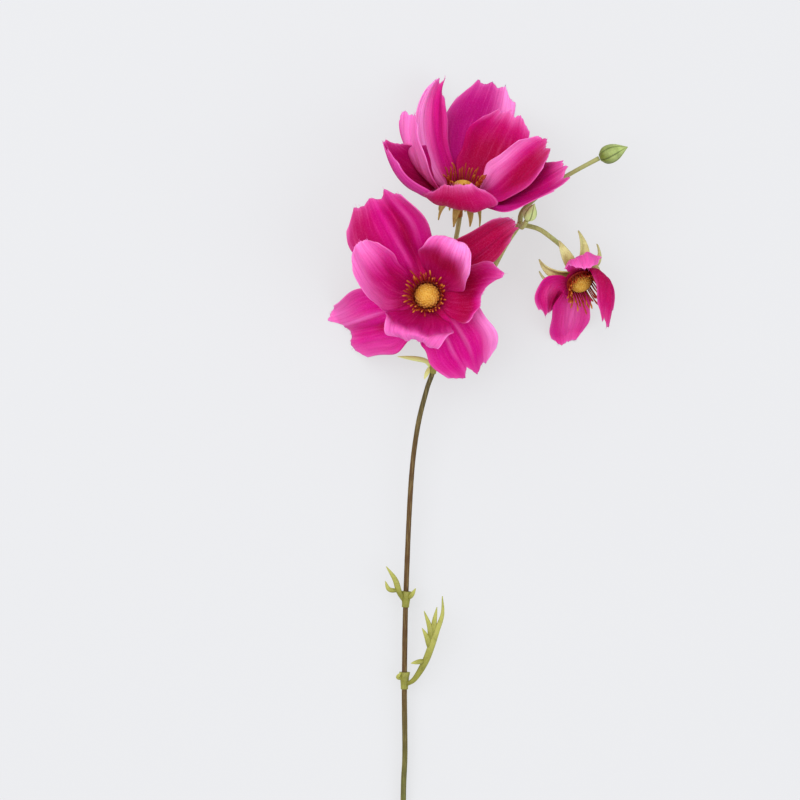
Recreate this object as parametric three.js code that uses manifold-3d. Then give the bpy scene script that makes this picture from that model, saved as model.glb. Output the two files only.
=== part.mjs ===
// A cut spray of cosmos lying on a flat surface, in millimetres, +Z up.
// One wiry stem forks into three: a blossom that opens towards the stem's far end, a blossom that
// looks straight up, and a side branch with a small nodding blossom and two buds.
// The origin is the middle of the spray's footprint, on the surface that it lies on.
import * as THREE from "three";
import { mergeVertices } from "three/addons/utils/BufferGeometryUtils.js";
import Module from "manifold-3d";

const wasm = await Module();
wasm.setup();

// ---------------------------------------------------------------- driving dimensions
const FOOTPRINT_CENTRE = [31.086, -61.65]; // where the footprint's middle lies in the layout, x and y
const GAP = 0.3; // clearance between pieces that touch

const PETAL_THICKNESS = 0.7;
const PETAL_ROOT_REACH = 4.6; // how far from the axis a petal starts, inside the hub
const PETAL_RISE_AT = 13; // how far out a petal is aimed before it lifts or droops
const HUB_RADIUS = 7;
const HUB_HALF = 0.9;

const DISC_RADIUS = 5.2;
const DISC_HEIGHT = 4.4;
const FLORET_RELIEF = 0.28;
const STAMEN_RING = { inner: 5.5, outer: 6.2, height: 0.7 };
const STAMENS = { count: 15, length: 6.4, spread: 2.6, radius: 0.45 };

const CALYX = { length: 5.5, top: 3.4, bottom: 1.7 };
const SEPALS = { count: 8, thickness: 0.8 };

const STEM_RADIUS = { cut: 1.15, fork: 1, side: 1, pedicel: 0.95, stalk: 0.85 };
const STEM_SIDES = 6;
const STEM_STEP = 9;
const SLEEVE_WALL = 0.6;
const LEAF_FLATNESS = 0.55; // a leaflet's thickness as a share of its width

// ---------------------------------------------------------------- materials
const finish = (color, roughness) =>
  new THREE.MeshStandardMaterial({ color, roughness, metalness: 0 });
const PETAL_CLOTH = finish("#c8127c", 0.65);
const STAMEN_MAROON = finish("#6e2416", 0.6);
const DISC_YELLOW = finish("#e0a030", 0.75);
const CALYX_OLIVE = finish("#a08a38", 0.55);
const LEAF_GREEN = finish("#93a24a", 0.55);
const BUD_GREEN = finish("#7f9a48", 0.5);
const STEM_BROWN = finish("#6b5c30", 0.5);

// ---------------------------------------------------------------- small helpers
const vec = (a) => new THREE.Vector3(...a);
const radians = THREE.MathUtils.degToRad;
const mix = THREE.MathUtils.lerp;
const smooth = (low, high, x) => THREE.MathUtils.smoothstep(x, low, high);
// A repeatable number from 0 to 1 for the k-th draw of a seed.
const draw = (seed, k) => {
  const x = Math.sin(seed * 12.9898 + k * 78.233) * 43758.5453;
  return x - Math.floor(x);
};
const steps = (count) => Array.from({ length: count + 1 }, (_, k) => k / count);

// ---------------------------------------------------------------- solids
function geometryOf(vertices, faces) {
  const geometry = new THREE.BufferGeometry();
  geometry.setAttribute(
    "position",
    new THREE.Float32BufferAttribute(vertices.flatMap((p) => [p.x, p.y, p.z]), 3),
  );
  geometry.setIndex(faces.flat());
  return geometry;
}

function solidOf(geometry) {
  const bare = geometry.clone();
  bare.deleteAttribute("normal");
  bare.deleteAttribute("uv");
  const merged = mergeVertices(bare, 1e-4);
  return new wasm.Manifold(
    new wasm.Mesh({
      numProp: 3,
      vertProperties: new Float32Array(merged.attributes.position.array),
      triVerts: new Uint32Array(merged.index.array),
    }),
  );
}

// The outer body of several solids that run into each other: pockets between them are filled in.
function joined(geometries) {
  const all = geometries.map(solidOf).reduce((sum, one) => sum.add(one));
  return all.decompose().sort((a, b) => b.volume() - a.volume())[0];
}

function meshOf(name, solid, material) {
  const made = solid.getMesh();
  const geometry = new THREE.BufferGeometry();
  geometry.setAttribute("position", new THREE.BufferAttribute(made.vertProperties, 3));
  geometry.setIndex(new THREE.BufferAttribute(made.triVerts, 1));
  geometry.computeVertexNormals();
  const mesh = new THREE.Mesh(geometry, material);
  mesh.name = name;
  return mesh;
}

// A closed body through rings of points that turn the same way, with a fan on each end.
function loft(rings) {
  const sides = rings[0].length;
  const vertices = rings.flat();
  const faces = [];
  for (let k = 0; k + 1 < rings.length; k++)
    for (let s = 0; s < sides; s++) {
      const [a, b] = [k * sides + s, k * sides + ((s + 1) % sides)];
      faces.push([a, b, b + sides], [a, b + sides, a + sides]);
    }
  const middle = (ring) =>
    ring.reduce((sum, p) => sum.add(p), new THREE.Vector3()).divideScalar(sides);
  const first = vertices.push(middle(rings[0])) - 1;
  const last = vertices.push(middle(rings.at(-1))) - 1;
  const end = (rings.length - 1) * sides;
  for (let s = 0; s < sides; s++) {
    const t = (s + 1) % sides;
    faces.push([first, t, s], [last, end + s, end + t]);
  }
  return geometryOf(vertices, faces);
}

// A rod along a smooth curve: radius(t) is its half width. Where a face vector is given, the rod is
// flattened along it, to the share flat of its width.
function rod(points, radius, sides, count, face = null, flat = 1) {
  const curve = new THREE.CatmullRomCurve3(points.map(vec), false, "centripetal");
  const frames = curve.computeFrenetFrames(count, false);
  return loft(
    steps(count).map((t, k) => {
      const centre = curve.getPointAt(t);
      let [wide, thin] = [frames.normals[k], frames.binormals[k]];
      if (face) {
        wide = face.clone().cross(frames.tangents[k]).normalize();
        thin = frames.tangents[k].clone().cross(wide);
      }
      return Array.from({ length: sides }, (_, s) => {
        const a = ((s + 0.5) / sides) * 2 * Math.PI;
        return centre
          .clone()
          .addScaledVector(wide, Math.cos(a) * radius(t))
          .addScaledVector(thin, Math.sin(a) * radius(t) * flat);
      });
    }),
  );
}

// A thin closed blade about a surface: two faces split into triangles alike, and a rim between them.
function blade(surface, us, vs, thickness) {
  const middle = us.map((u) => vs.map((v) => surface(u, v)));
  const [rows, columns] = [us.length, vs.length];
  const near = (i, j) =>
    middle[Math.min(Math.max(i, 0), rows - 1)][Math.min(Math.max(j, 0), columns - 1)];
  const offset = (i, j, distance) => {
    const along = near(i + 1, j).clone().sub(near(i - 1, j));
    const over = near(i, j + 1).clone().sub(near(i, j - 1));
    return middle[i][j].clone().addScaledVector(along.cross(over).normalize(), distance);
  };
  const vertices = [];
  for (const side of [1, -1])
    for (let i = 0; i < rows; i++)
      for (let j = 0; j < columns; j++) {
        const p = offset(i, j, (side * thickness) / 2);
        p.z = Math.max(p.z, side > 0 ? thickness : 0); // what reaches the surface lies flat on it
        vertices.push(p);
      }
  const faces = [];
  const under = rows * columns;
  const quad = (a, b, c, d) => faces.push([a, b, c], [a, c, d]);
  for (let i = 0; i + 1 < rows; i++)
    for (let j = 0; j + 1 < columns; j++) {
      const a = i * columns + j;
      const [b, c, d] = [a + columns, a + columns + 1, a + 1];
      faces.push([a, b, c], [a, c, d]);
      faces.push([a + under, c + under, b + under], [a + under, d + under, c + under]);
    }
  for (let i = 0; i + 1 < rows; i++) {
    const [a, b] = [i * columns, (i + 1) * columns];
    quad(a, a + under, b + under, b);
    const [c, d] = [a + columns - 1, b + columns - 1];
    quad(c, d, d + under, c + under);
  }
  for (let j = 0; j + 1 < columns; j++) {
    quad(j, j + 1, j + 1 + under, j + under);
    const a = (rows - 1) * columns + j;
    quad(a, a + under, a + 1 + under, a + 1);
  }
  return geometryOf(vertices, faces);
}

// ---------------------------------------------------------------- a blossom's own frame
// right and back lie across the axis: angles run from right towards back.
function bloomFrame({ hub, axis }) {
  const out = vec(axis).normalize();
  const right = new THREE.Vector3(1, 0, 0).addScaledVector(out, -out.x).normalize();
  const back = out.clone().cross(right);
  const radial = (angle) =>
    right.clone().multiplyScalar(Math.cos(angle)).addScaledVector(back, Math.sin(angle));
  const at = (reach, angle, height) =>
    vec(hub).addScaledVector(radial(angle), reach).addScaledVector(out, height);
  return { out, right, back, radial, at, hub: vec(hub) };
}

// ---------------------------------------------------------------- petals
// Across the tip, a petal is cut into teeth at these places, from one edge to the other.
const TOOTH_AT = [-1, -0.74, -0.46, -0.16, 0.14, 0.44, 0.72, 1];
const PETAL_ROWS = [0, 0.07, 0.2, 0.36, 0.53, 0.7, 0.86, 1];

// How far the tip is cut back at v, as a share of the petal's length: teeth, rounded corners, on some
// petals a notch, and on some a slant, where one side of the tip is cut shorter than the other.
function bite(petal, v) {
  const [slantSide, slant] = petal.slant ?? [1, 0];
  const cut = TOOTH_AT.map((at, k) => {
    const tooth = k % 2 ? 0.03 + 0.05 * draw(petal.seed, k) : 0.025 * draw(petal.seed, k);
    const slanted = slant * smooth(-0.45, -0.1, slantSide * at);
    const notched = petal.notch?.[0] === k ? petal.notch[1] : 0;
    return (petal.teeth ?? 1) * tooth + 0.1 * at ** 4 + slanted + notched;
  });
  const k = Math.min(TOOTH_AT.findLastIndex((at) => at <= v), TOOTH_AT.length - 2);
  return mix(cut[k], cut[k + 1], (v - TOOTH_AT[k]) / (TOOTH_AT[k + 1] - TOOTH_AT[k]));
}

// Half width along the petal: a narrow root, widest past the middle, and a blunt tip. The two sides
// may be of different width, and their edges waver a little.
function petalHalfWidth(petal, u, v) {
  const side = v < 0 ? 0 : 1;
  const waver = 0.06 * Math.sin(2 * Math.PI * (2.3 * u + draw(petal.seed, 33 + side)));
  const share = (1 + waver * smooth(0.2, 0.5, u)) * (petal.sides?.[side] ?? 1);
  return share * (petal.width / 2) * Math.sin(Math.PI * (0.05 + (petal.taper ?? 0.81) * u)) ** 0.75;
}

// The petal's middle surface: a midrib curve with an arc across it, which bends more or less on each
// side and from root to tip, and a lip that rolls back at the tip.
function petalSurface(frame, petal) {
  const reach = vec(petal.knee).sub(frame.hub);
  const angle = Math.atan2(reach.dot(frame.back), reach.dot(frame.right));
  const beside = frame.radial(angle + Math.PI / 2);
  const curve = new THREE.CubicBezierCurve3(
    frame.at(PETAL_ROOT_REACH, angle, 0),
    frame.at(petal.rise ?? PETAL_RISE_AT, angle, 0),
    vec(petal.knee),
    vec(petal.tip),
  );
  const [rollRoot, rollTip] = petal.roll ?? [0, 0];
  const [curlCw, curlCcw] = petal.curl ?? petal.cup;
  return (u, v) => {
    const along = u * (1 - bite(petal, v) * smooth(0.3, 1, u));
    const centre = curve.getPoint(along);
    const tangent = curve.getTangent(along).normalize();
    const flat = beside.clone().addScaledVector(tangent, -beside.dot(tangent)).normalize();
    const turned = mix(rollRoot, rollTip, along);
    const across = flat.applyAxisAngle(tangent, radians(turned));
    const inward = tangent.clone().cross(across);
    const half = petalHalfWidth(petal, along, v);
    const [cup, curl] = v < 0 ? [petal.cup[0], curlCw] : [petal.cup[1], curlCcw];
    const bend = mix(cup, curl, along) * smooth(0, 0.3, along) + 1e-6;
    const sweep = Math.abs(v) * bend;
    const wave =
      0.1 * half * v * v * smooth(0.2, 1, along) *
      Math.sin(2 * Math.PI * (1.6 * along + draw(petal.seed, v < 0 ? 20 : 21)));
    const roll = smooth(0.6, 1, along) ** 2 * (petal.lip ?? 0);
    return centre
      .addScaledVector(across, (Math.sign(v) * half * Math.sin(sweep)) / bend)
      .addScaledVector(inward, (half * (1 - Math.cos(sweep))) / bend + wave - roll);
  };
}

function petals(bloom) {
  const frame = bloomFrame(bloom);
  const hub = rod(
    [frame.at(0, 0, -HUB_HALF), frame.at(0, 0, HUB_HALF)].map((p) => p.toArray()),
    () => HUB_RADIUS * bloom.scale,
    16,
    1,
  );
  return joined([
    hub,
    ...bloom.petals.map((p) =>
      blade(petalSurface(frame, p), PETAL_ROWS, TOOTH_AT, PETAL_THICKNESS),
    ),
  ]);
}

// ---------------------------------------------------------------- disc and stamens
// A dome of small florets: bumps in rings, each ring half a bump round from the last.
function disc(bloom) {
  const frame = bloomFrame(bloom);
  const base = HUB_HALF + GAP;
  const [sides, rows] = [20, 7];
  const rings = steps(rows).map((t, k) => {
    const lift = Math.sin((t * Math.PI) / 2);
    const wide = Math.max(Math.cos((t * Math.PI) / 2), 0.12);
    return Array.from({ length: sides }, (_, s) => {
      const bump = k > 0 && k < rows && (s + k) % 2 ? FLORET_RELIEF : 0;
      return frame.at(
        (DISC_RADIUS * wide + bump) * bloom.scale - (k === 0 ? 0.4 : 0),
        (s / sides) * 2 * Math.PI,
        base + (DISC_HEIGHT * lift + bump) * bloom.scale,
      );
    });
  });
  return solidOf(loft(rings));
}

// A thin ring round the disc that carries a fence of bristles, which lean out. A bristle that would
// touch a petal is left out.
function stamens(bloom, room) {
  const frame = bloomFrame(bloom);
  const base = HUB_HALF + GAP;
  const k = bloom.scale;
  const { inner, outer, height } = STAMEN_RING;
  const profile = [
    [inner * k, base],
    [outer * k, base],
    [outer * k, base + height],
    [inner * k, base + height],
    [inner * k, base],
  ].map(([r, z]) => new THREE.Vector2(r, z));
  const ring = new THREE.LatheGeometry(profile, 16);
  ring.applyMatrix4(
    new THREE.Matrix4()
      .makeBasis(frame.right, frame.out, frame.back.clone().negate())
      .setPosition(frame.hub),
  );
  const bristle = (n) => {
    const angle = ((n + 0.5 * draw(n, 3)) / STAMENS.count) * 2 * Math.PI;
    const length = STAMENS.length * k * (0.75 + 0.35 * draw(n, 1));
    const lean = STAMENS.spread * k * (0.6 + 0.8 * draw(n, 2));
    const foot = ((inner + outer) / 2) * k;
    const path = (radius) => rod(
      [
        frame.at(foot, angle, base + 0.4).toArray(),
        frame.at(foot + lean * 0.35, angle, base + length * 0.55).toArray(),
        frame.at(foot + lean, angle + 0.05, base + length).toArray(),
      ],
      (t) => radius * mix(1, 0.75, t),
      3,
      2,
    );
    const clear = solidOf(path(STAMENS.radius + 2 * GAP)).intersect(room).volume() < 1e-6;
    return clear ? [path(STAMENS.radius)] : [];
  };
  return joined([ring, ...Array.from({ length: STAMENS.count }, (_, n) => bristle(n)).flat()]);
}

// ---------------------------------------------------------------- calyx
// A short tube and cup under the petals, with a crown of narrow sepals that bend back.
function calyx(bloom) {
  const frame = bloomFrame(bloom);
  const k = bloom.scale;
  const top = -HUB_HALF - GAP;
  const { length } = CALYX;
  const { tube, sepals } = bloom;
  const profile = [
    [0, top - length - tube],
    [1.15, top - length - tube],
    [1.3, top - length - tube + 1],
    [1.2, top - length],
    [CALYX.bottom, top - length + 0.8],
    [CALYX.top * k, top - 1],
    [CALYX.top * k + 0.2, top],
    [0, top],
  ].map(([r, z]) => new THREE.Vector2(r, z));
  const cup = new THREE.LatheGeometry(profile, 12);
  cup.applyMatrix4(
    new THREE.Matrix4()
      .makeBasis(frame.right, frame.out, frame.back.clone().negate())
      .setPosition(frame.hub),
  );
  const sepal = (n) => {
    const angle = ((n + 0.35) / SEPALS.count) * 2 * Math.PI + 0.3 * draw(n, bloom.seed);
    const fall = sepals.fall * (0.85 + 0.3 * draw(n + 7, bloom.seed));
    const out = sepals.reach * k;
    const curve = new THREE.CubicBezierCurve3(
      frame.at(2.2 * k, angle, top - 2.2),
      frame.at(0.65 * out, angle, top - 1.6),
      frame.at(out, angle, top - 3),
      frame.at(out + 0.5, angle, top - fall),
    );
    const beside = frame.radial(angle + Math.PI / 2);
    const surface = (u, v) => {
      const half = (sepals.width / 2) * Math.max(Math.sin(Math.PI * (0.22 + 0.76 * u)), 0.1);
      const tangent = curve.getTangent(u);
      const inward = tangent.clone().cross(beside).normalize();
      return curve
        .getPoint(u)
        .addScaledVector(beside, v * half)
        .addScaledVector(inward, 0.35 * half * v * v);
    };
    return blade(surface, steps(3), [-1, 0, 1], SEPALS.thickness);
  };
  return joined([cup, ...Array.from({ length: SEPALS.count }, (_, n) => sepal(n))]);
}

// ---------------------------------------------------------------- buds
// A pointed egg of closed sepals: shallow grooves run from base to tip.
function bud({ base, tip, width }) {
  const [from, to] = [vec(base), vec(tip)];
  const out = to.clone().sub(from);
  const long = out.length();
  out.normalize();
  const right = new THREE.Vector3(0, 0, 1).addScaledVector(out, -out.z).normalize();
  const back = out.clone().cross(right);
  const sides = 16;
  const profile = [
    [0, 0.3], [0.05, 0.62], [0.16, 0.88], [0.32, 1], [0.5, 0.94],
    [0.66, 0.72], [0.8, 0.44], [0.92, 0.2], [1, 0.07],
  ];
  const rings = profile.map(([t, share]) =>
    Array.from({ length: sides }, (_, s) => {
      const angle = (s / sides) * 2 * Math.PI;
      const groove = 1 - 0.09 * Math.cos(4 * angle + 1.2 * t) ** 8;
      return from
        .clone()
        .addScaledVector(out, long * t)
        .addScaledVector(right, Math.cos(angle) * share * groove * (width / 2))
        .addScaledVector(back, Math.sin(angle) * share * groove * (width / 2));
    }),
  );
  return solidOf(loft(rings));
}

// ---------------------------------------------------------------- blossoms, buds and stem, as they lie
const TOP_BLOOM = {
  hub: [25.2, 83, 23],
  axis: [0.12, 0.9, 0.42],
  scale: 1,
  seed: 1,
  tube: 3.2,
  sepals: { fall: 9.6, reach: 8.5, width: 3.2 },
  petals: [
    {
      knee: [6, 113, 10], tip: [17.4, 132.5, 8], width: 21, taper: 0.85, sides: [0.75, 0.92],
      cup: [0.4, 0.5], seed: 1,
    },
    {
      knee: [33, 110, -1], tip: [40, 131, -4], width: 30, taper: 0.76, sides: [0.8, 1.05],
      cup: [0.5, 0.5], curl: [0.3, 0.3], seed: 2,
    },
    { knee: [40, 103, 12], tip: [46, 117.6, 15], roll: [0, 24], width: 28, cup: [0.7, 0.7], seed: 3 },
    {
      knee: [42, 90, 26], tip: [60, 104, 36], roll: [0, 54], width: 25, teeth: 0.6, sides: [1, 0.82],
      cup: [0.5, 0.9], seed: 4,
    },
    {
      knee: [49, 78, 30], tip: [68.8, 93, 40], roll: [0, 36], width: 25, sides: [1.25, 1],
      cup: [0.6, 0.6], seed: 5,
    },
    {
      knee: [23, 68, 52], tip: [21.6, 86.4, 57], width: 37, teeth: 0.5, sides: [0.92, 0.85],
      cup: [0.6, 0.6], seed: 6,
    },
    {
      knee: [-2, 81, 36], tip: [-7.5, 104, 42], roll: [0, -20], width: 30, sides: [1.3, 1.25],
      cup: [1.4, 0.8], curl: [2.6, 0.8], seed: 7,
    },
    {
      knee: [1, 98, 28], tip: [1.4, 117, 26], roll: [0, 30], width: 26, teeth: 0.5, sides: [0.55, 1],
      cup: [0.5, 0.5], seed: 8,
    },
  ],
};

const FACE_BLOOM = {
  hub: [11, 41.6, 30],
  axis: [-0.06, 0.08, 1],
  scale: 1,
  seed: 2,
  tube: 3.2,
  sepals: { fall: 9.6, reach: 8.5, width: 3.2 },
  petals: [
    {
      knee: [-4, 66, 42], tip: [-11.5, 83, 34], width: 34, taper: 0.74,
      cup: [0.5, 0.2], curl: [1.4, 0.2], seed: 11,
    },
    {
      knee: [19, 56, 57], tip: [21, 63, 57], rise: 15, lip: 5, width: 25, teeth: 0.6,
      cup: [0.6, 0.6], seed: 12,
    },
    {
      knee: [30, 61, 38], tip: [47, 71, 36], roll: [0, 52], width: 22, taper: 0.76, teeth: 0.5,
      sides: [0.7, 1], cup: [0.5, 0.5], seed: 13,
    },
    { knee: [33, 42, 42], tip: [43.6, 46, 52], width: 25, slant: [-1, 0.33], cup: [0.7, 0.1], seed: 14 },
    { knee: [24, 26, 38], tip: [30.4, 9, 17], width: 30, notch: [3, 0.06], cup: [0.1, 0.5], seed: 15 },
    { knee: [6, 28, 56], tip: [6, 23.4, 43], rise: 15, width: 29, teeth: 0.3, cup: [0.5, 0.5], seed: 16 },
    {
      knee: [-9, 30, 26], tip: [-28, 28.4, -10], width: 29, taper: 0.76, teeth: 0.35, slant: [1, 0.1],
      cup: [0.3, 0.2], seed: 17,
    },
    {
      knee: [-7.5, 50, 48], tip: [-14, 63, 55], rise: 15, lip: 3, width: 29, taper: 0.76, teeth: 0.5,
      sides: [0.5, 1], cup: [0.9, 0.4], seed: 18,
    },
  ],
};

const SMALL_BLOOM = {
  hub: [72.2, 48.8, 22],
  axis: [0.32, -0.7, 0.64],
  scale: 0.92,
  seed: 3,
  tube: 6,
  sepals: { fall: 12.3, reach: 13.5, width: 4.6 },
  petals: [
    { knee: [60.5, 47, 22], tip: [60, 34, 15], rise: 9, roll: [0, 25], width: 17, cup: [0.4, 0.4], seed: 21 },
    { knee: [68, 36, 12], tip: [68, 22.4, -6], rise: 9, width: 18, teeth: 0.5, cup: [0.4, 0.4], seed: 22 },
    { knee: [72, 64, 40], tip: [73.6, 52, 46], rise: 9, width: 18, teeth: 0.3, cup: [0.6, 0.6], seed: 23 },
    { knee: [88, 53, 33], tip: [83, 27.6, 22], rise: 9, width: 14, taper: 0.88, cup: [0.9, 0.9], seed: 24 },
  ],
};

const BUDS = {
  long_bud: { base: [80.6, 97.6, 24], tip: [91.6, 101.8, 26], width: 7.6 },
  round_bud: { base: [51.2, 72.6, 22], tip: [54.2, 79, 25], width: 5.8 },
};

const CUT_END = [0.8, -255, STEM_RADIUS.cut];
const MAIN_STEM = [
  CUT_END, [1, -200, 1.8], [1.4, -160, 3], [2, -144, 3.6], [1.8, -116, 4.6], [2.4, -80, 6],
  [4.4, -35, 8], [7, -12, 9.2], [10.8, 4, 10.2], [13.2, 11, 10.8], [14.6, 18.4, 11.4],
];
const FORK = MAIN_STEM.at(-1);
const SIDE_FORK = [48.6, 71.4, 14];

// Where a blossom's pedicel ends, a gap short of the calyx tube, and the way that it arrives.
function pedicelEnd(bloom) {
  const frame = bloomFrame(bloom);
  const foot = -HUB_HALF - GAP - CALYX.length - bloom.tube - GAP;
  return [frame.at(0, 0, foot - 6).toArray(), frame.at(0, 0, foot).toArray()];
}

// Where a bud's stalk ends, a gap short of the bud.
function stalkEnd({ base, tip }) {
  const out = vec(tip).sub(vec(base)).normalize();
  return vec(base).addScaledVector(out, -GAP - 0.1).toArray();
}

const { fork, side, pedicel, stalk } = STEM_RADIUS;
const STRANDS = {
  main: { points: MAIN_STEM, from: STEM_RADIUS.cut, to: fork },
  top: { points: [FORK, [17, 30, 9.5], [19.4, 48, 10], ...pedicelEnd(TOP_BLOOM)], from: fork, to: pedicel },
  face: { points: [FORK, [13.4, 26, 10.5], ...pedicelEnd(FACE_BLOOM)], from: fork, to: pedicel },
  side: { points: [FORK, [24, 30, 9], [35, 48, 9.4], [43, 63, 12], SIDE_FORK], from: fork, to: side },
  small: {
    points: [SIDE_FORK, [56, 69.4, 15], [61, 66, 15.6], ...pedicelEnd(SMALL_BLOOM)],
    from: side,
    to: pedicel,
  },
  long_bud: {
    points: [SIDE_FORK, [50, 77, 15], [60, 86, 19], [70, 92, 22], stalkEnd(BUDS.long_bud)],
    from: side,
    to: stalk,
  },
  round_bud: { points: [SIDE_FORK, [49.4, 69.8, 18.5], stalkEnd(BUDS.round_bud)], from: side, to: stalk },
};

// One strand of the stem, or what a gap round it takes up.
function strand({ points, from, to }, grow = 0) {
  const length = points.slice(1).reduce((sum, p, k) => sum + vec(p).distanceTo(vec(points[k])), 0);
  const radius = (t) => mix(from, to, t) + grow;
  return rod(points, radius, STEM_SIDES, Math.ceil(length / STEM_STEP));
}

// ---------------------------------------------------------------- leaves
// Each leaf slides over the stem on a short sleeve, and its leaflets are flat tapering straps.
const LEAVES = {
  fork_leaf: {
    on: STRANDS.main,
    sleeve: [[13.1, 10.8, 10.8], [14.2, 16.4, 11.2]],
    leaflets: [
      {
        points: [[12.3, 13.4, 11.4], [11, 15.4, 12.8], [9, 16.3, 13.8], [4.6, 17, 14.8], [-1, 17.6, 15.6]],
        width: 2.1,
      },
      { points: [[12.4, 13.6, 11.2], [11.2, 11.4, 11.8], [9.8, 8.4, 12.2]], width: 1.9 },
    ],
  },
  upper_leaf: {
    on: STRANDS.main,
    sleeve: [[2.2, -84.5, 5.8], [2.7, -78, 6.1]],
    leaflets: [
      { points: [[1.6, -82, 6.4], [-0.4, -78, 8.4], [-2, -73, 10.4], [-5.6, -67.6, 12]], width: 2.4 },
      { points: [[-0.6, -77.6, 8.6], [-4.4, -77, 10], [-6, -73.6, 11]], width: 1.9 },
      { points: [[2.8, -81, 6.4], [4.6, -79.6, 8.4], [6.4, -76.6, 10]], width: 1.9 },
    ],
  },
  lower_leaf: {
    on: STRANDS.main,
    sleeve: [[1.8, -118, 4.5], [1.9, -111, 4.8]],
    leaflets: [
      {
        points: [
          [2.6, -116, 5.4], [6, -113.6, 7], [10, -107, 9], [12.4, -101, 10.6], [14.8, -94, 12],
          [17.2, -87, 13], [17.2, -79.6, 13.4],
        ],
        width: 2.9,
      },
      { points: [[13.4, -98, 11.2], [13.8, -91, 12.6], [15, -84, 13.6]], width: 2.2 },
      { points: [[12, -101.4, 10.4], [11, -96.6, 12], [9, -92.6, 13]], width: 2.2 },
      { points: [[12, -100, 10.6], [12.2, -93, 12.4], [9.8, -85.6, 13.8]], width: 2.2 },
      { points: [[10.2, -106, 9.2], [7.8, -106.4, 10.4], [4.4, -107, 11]], width: 2 },
      { points: [[1.2, -113.6, 5], [-0.8, -113, 6.2], [0.4, -111, 7.4]], width: 1.7 },
    ],
  },
};

function leaf({ on, sleeve, leaflets }) {
  const around = (grow) => on.from + grow;
  const outside = rod(sleeve, () => around(GAP + SLEEVE_WALL), 8, 2);
  const up = new THREE.Vector3(0, 0, 1);
  const strap = ({ points, width }) =>
    rod(
      points,
      (t) => (width / 2) * Math.max(Math.sin(Math.PI * (0.18 + 0.78 * t)), 0.25),
      6,
      Math.ceil(1.4 * points.length),
      up,
      LEAF_FLATNESS,
    );
  return joined([outside, ...leaflets.map(strap)]).subtract(solidOf(strand(on, GAP)));
}

// ---------------------------------------------------------------- the spray
const spray = new THREE.Group();
const add = (name, solid, material) => spray.add(meshOf(name, solid, material));
for (const [name, bloom] of Object.entries({
  top_bloom: TOP_BLOOM,
  face_bloom: FACE_BLOOM,
  small_bloom: SMALL_BLOOM,
})) {
  const corolla = petals(bloom);
  add(name + "_petals", corolla, PETAL_CLOTH);
  add(name + "_disc", disc(bloom), DISC_YELLOW);
  add(name + "_stamens", stamens(bloom, corolla), STAMEN_MAROON);
  add(name + "_calyx", calyx(bloom), CALYX_OLIVE);
}
for (const [name, shape] of Object.entries(BUDS)) add(name, bud(shape), BUD_GREEN);
for (const [name, shape] of Object.entries(LEAVES)) add(name, leaf(shape), LEAF_GREEN);
add("stem", joined(Object.values(STRANDS).map((one) => strand(one))), STEM_BROWN);

spray.position.set(-FOOTPRINT_CENTRE[0], -FOOTPRINT_CENTRE[1], 0);
export default spray;
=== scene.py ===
"""A cut spray of cosmos, made of cloth and moulded plastic, lying on a pale surface.

Lengths in the tables are millimetres in the layout, whose footprint middle is FOOTPRINT_CENTRE. Meshes
are in metres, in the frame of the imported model.
"""

import math

import bpy
import numpy as np
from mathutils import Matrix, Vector


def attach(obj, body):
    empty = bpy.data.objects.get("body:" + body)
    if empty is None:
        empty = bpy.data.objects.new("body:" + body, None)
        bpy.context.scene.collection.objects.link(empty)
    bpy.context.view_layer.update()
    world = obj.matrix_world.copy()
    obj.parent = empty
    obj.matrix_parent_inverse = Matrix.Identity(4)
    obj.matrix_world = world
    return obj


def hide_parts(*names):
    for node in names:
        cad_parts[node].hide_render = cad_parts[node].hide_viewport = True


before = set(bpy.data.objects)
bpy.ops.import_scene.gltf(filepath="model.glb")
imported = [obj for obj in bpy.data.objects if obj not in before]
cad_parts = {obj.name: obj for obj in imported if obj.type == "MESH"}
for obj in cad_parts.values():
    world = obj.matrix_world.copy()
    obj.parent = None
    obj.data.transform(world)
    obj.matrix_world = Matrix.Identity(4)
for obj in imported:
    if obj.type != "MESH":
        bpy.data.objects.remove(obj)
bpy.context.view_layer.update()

# ------------------------------------------------------------------ the spray's own sizes, in mm
FOOTPRINT_CENTRE = np.array([31.086, -61.65, 0.0])
METRES = 0.001
GAP = 0.3  # between pieces that meet
SPLINE_STEPS = 24

PETAL_THICKNESS = 0.3
PETAL_ROOT_REACH = 4.6
PETAL_GRID = (60, 44)
VEIN_HEIGHT = 0.05
RUFFLE = 0.1
TOOTH_AT = np.array([-1, -0.74, -0.46, -0.16, 0.14, 0.44, 0.72, 1])
FRAY_KNOTS = 34
FRAY_DEPTH = 0.016
THREAD_COUNT = 26
THREAD_RADIUS = 0.075
HUB_RADIUS = 6.6
HUB_HALF = 0.9

DISC_RADIUS = 5.2
DISC_HEIGHT = 4.4
FLORET_COUNT = 100
FLORET_RADIUS = 0.65
FLORET_RELIEF = 0.6

STAMEN_RING_INNER = 5.3
STAMEN_RING_OUTER = 6.3
STAMEN_RING_HEIGHT = 0.7
STAMEN_COUNT = 54

CALYX_LENGTH = 5.5
SEPAL_COUNT = 8
SEPAL_THICKNESS = 0.5
BUD_SEPALS = 6

CUT_RADIUS = 1.15
FORK_RADIUS = 1.0
PEDICEL_RADIUS = 0.95
STALK_RADIUS = 0.85

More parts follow.
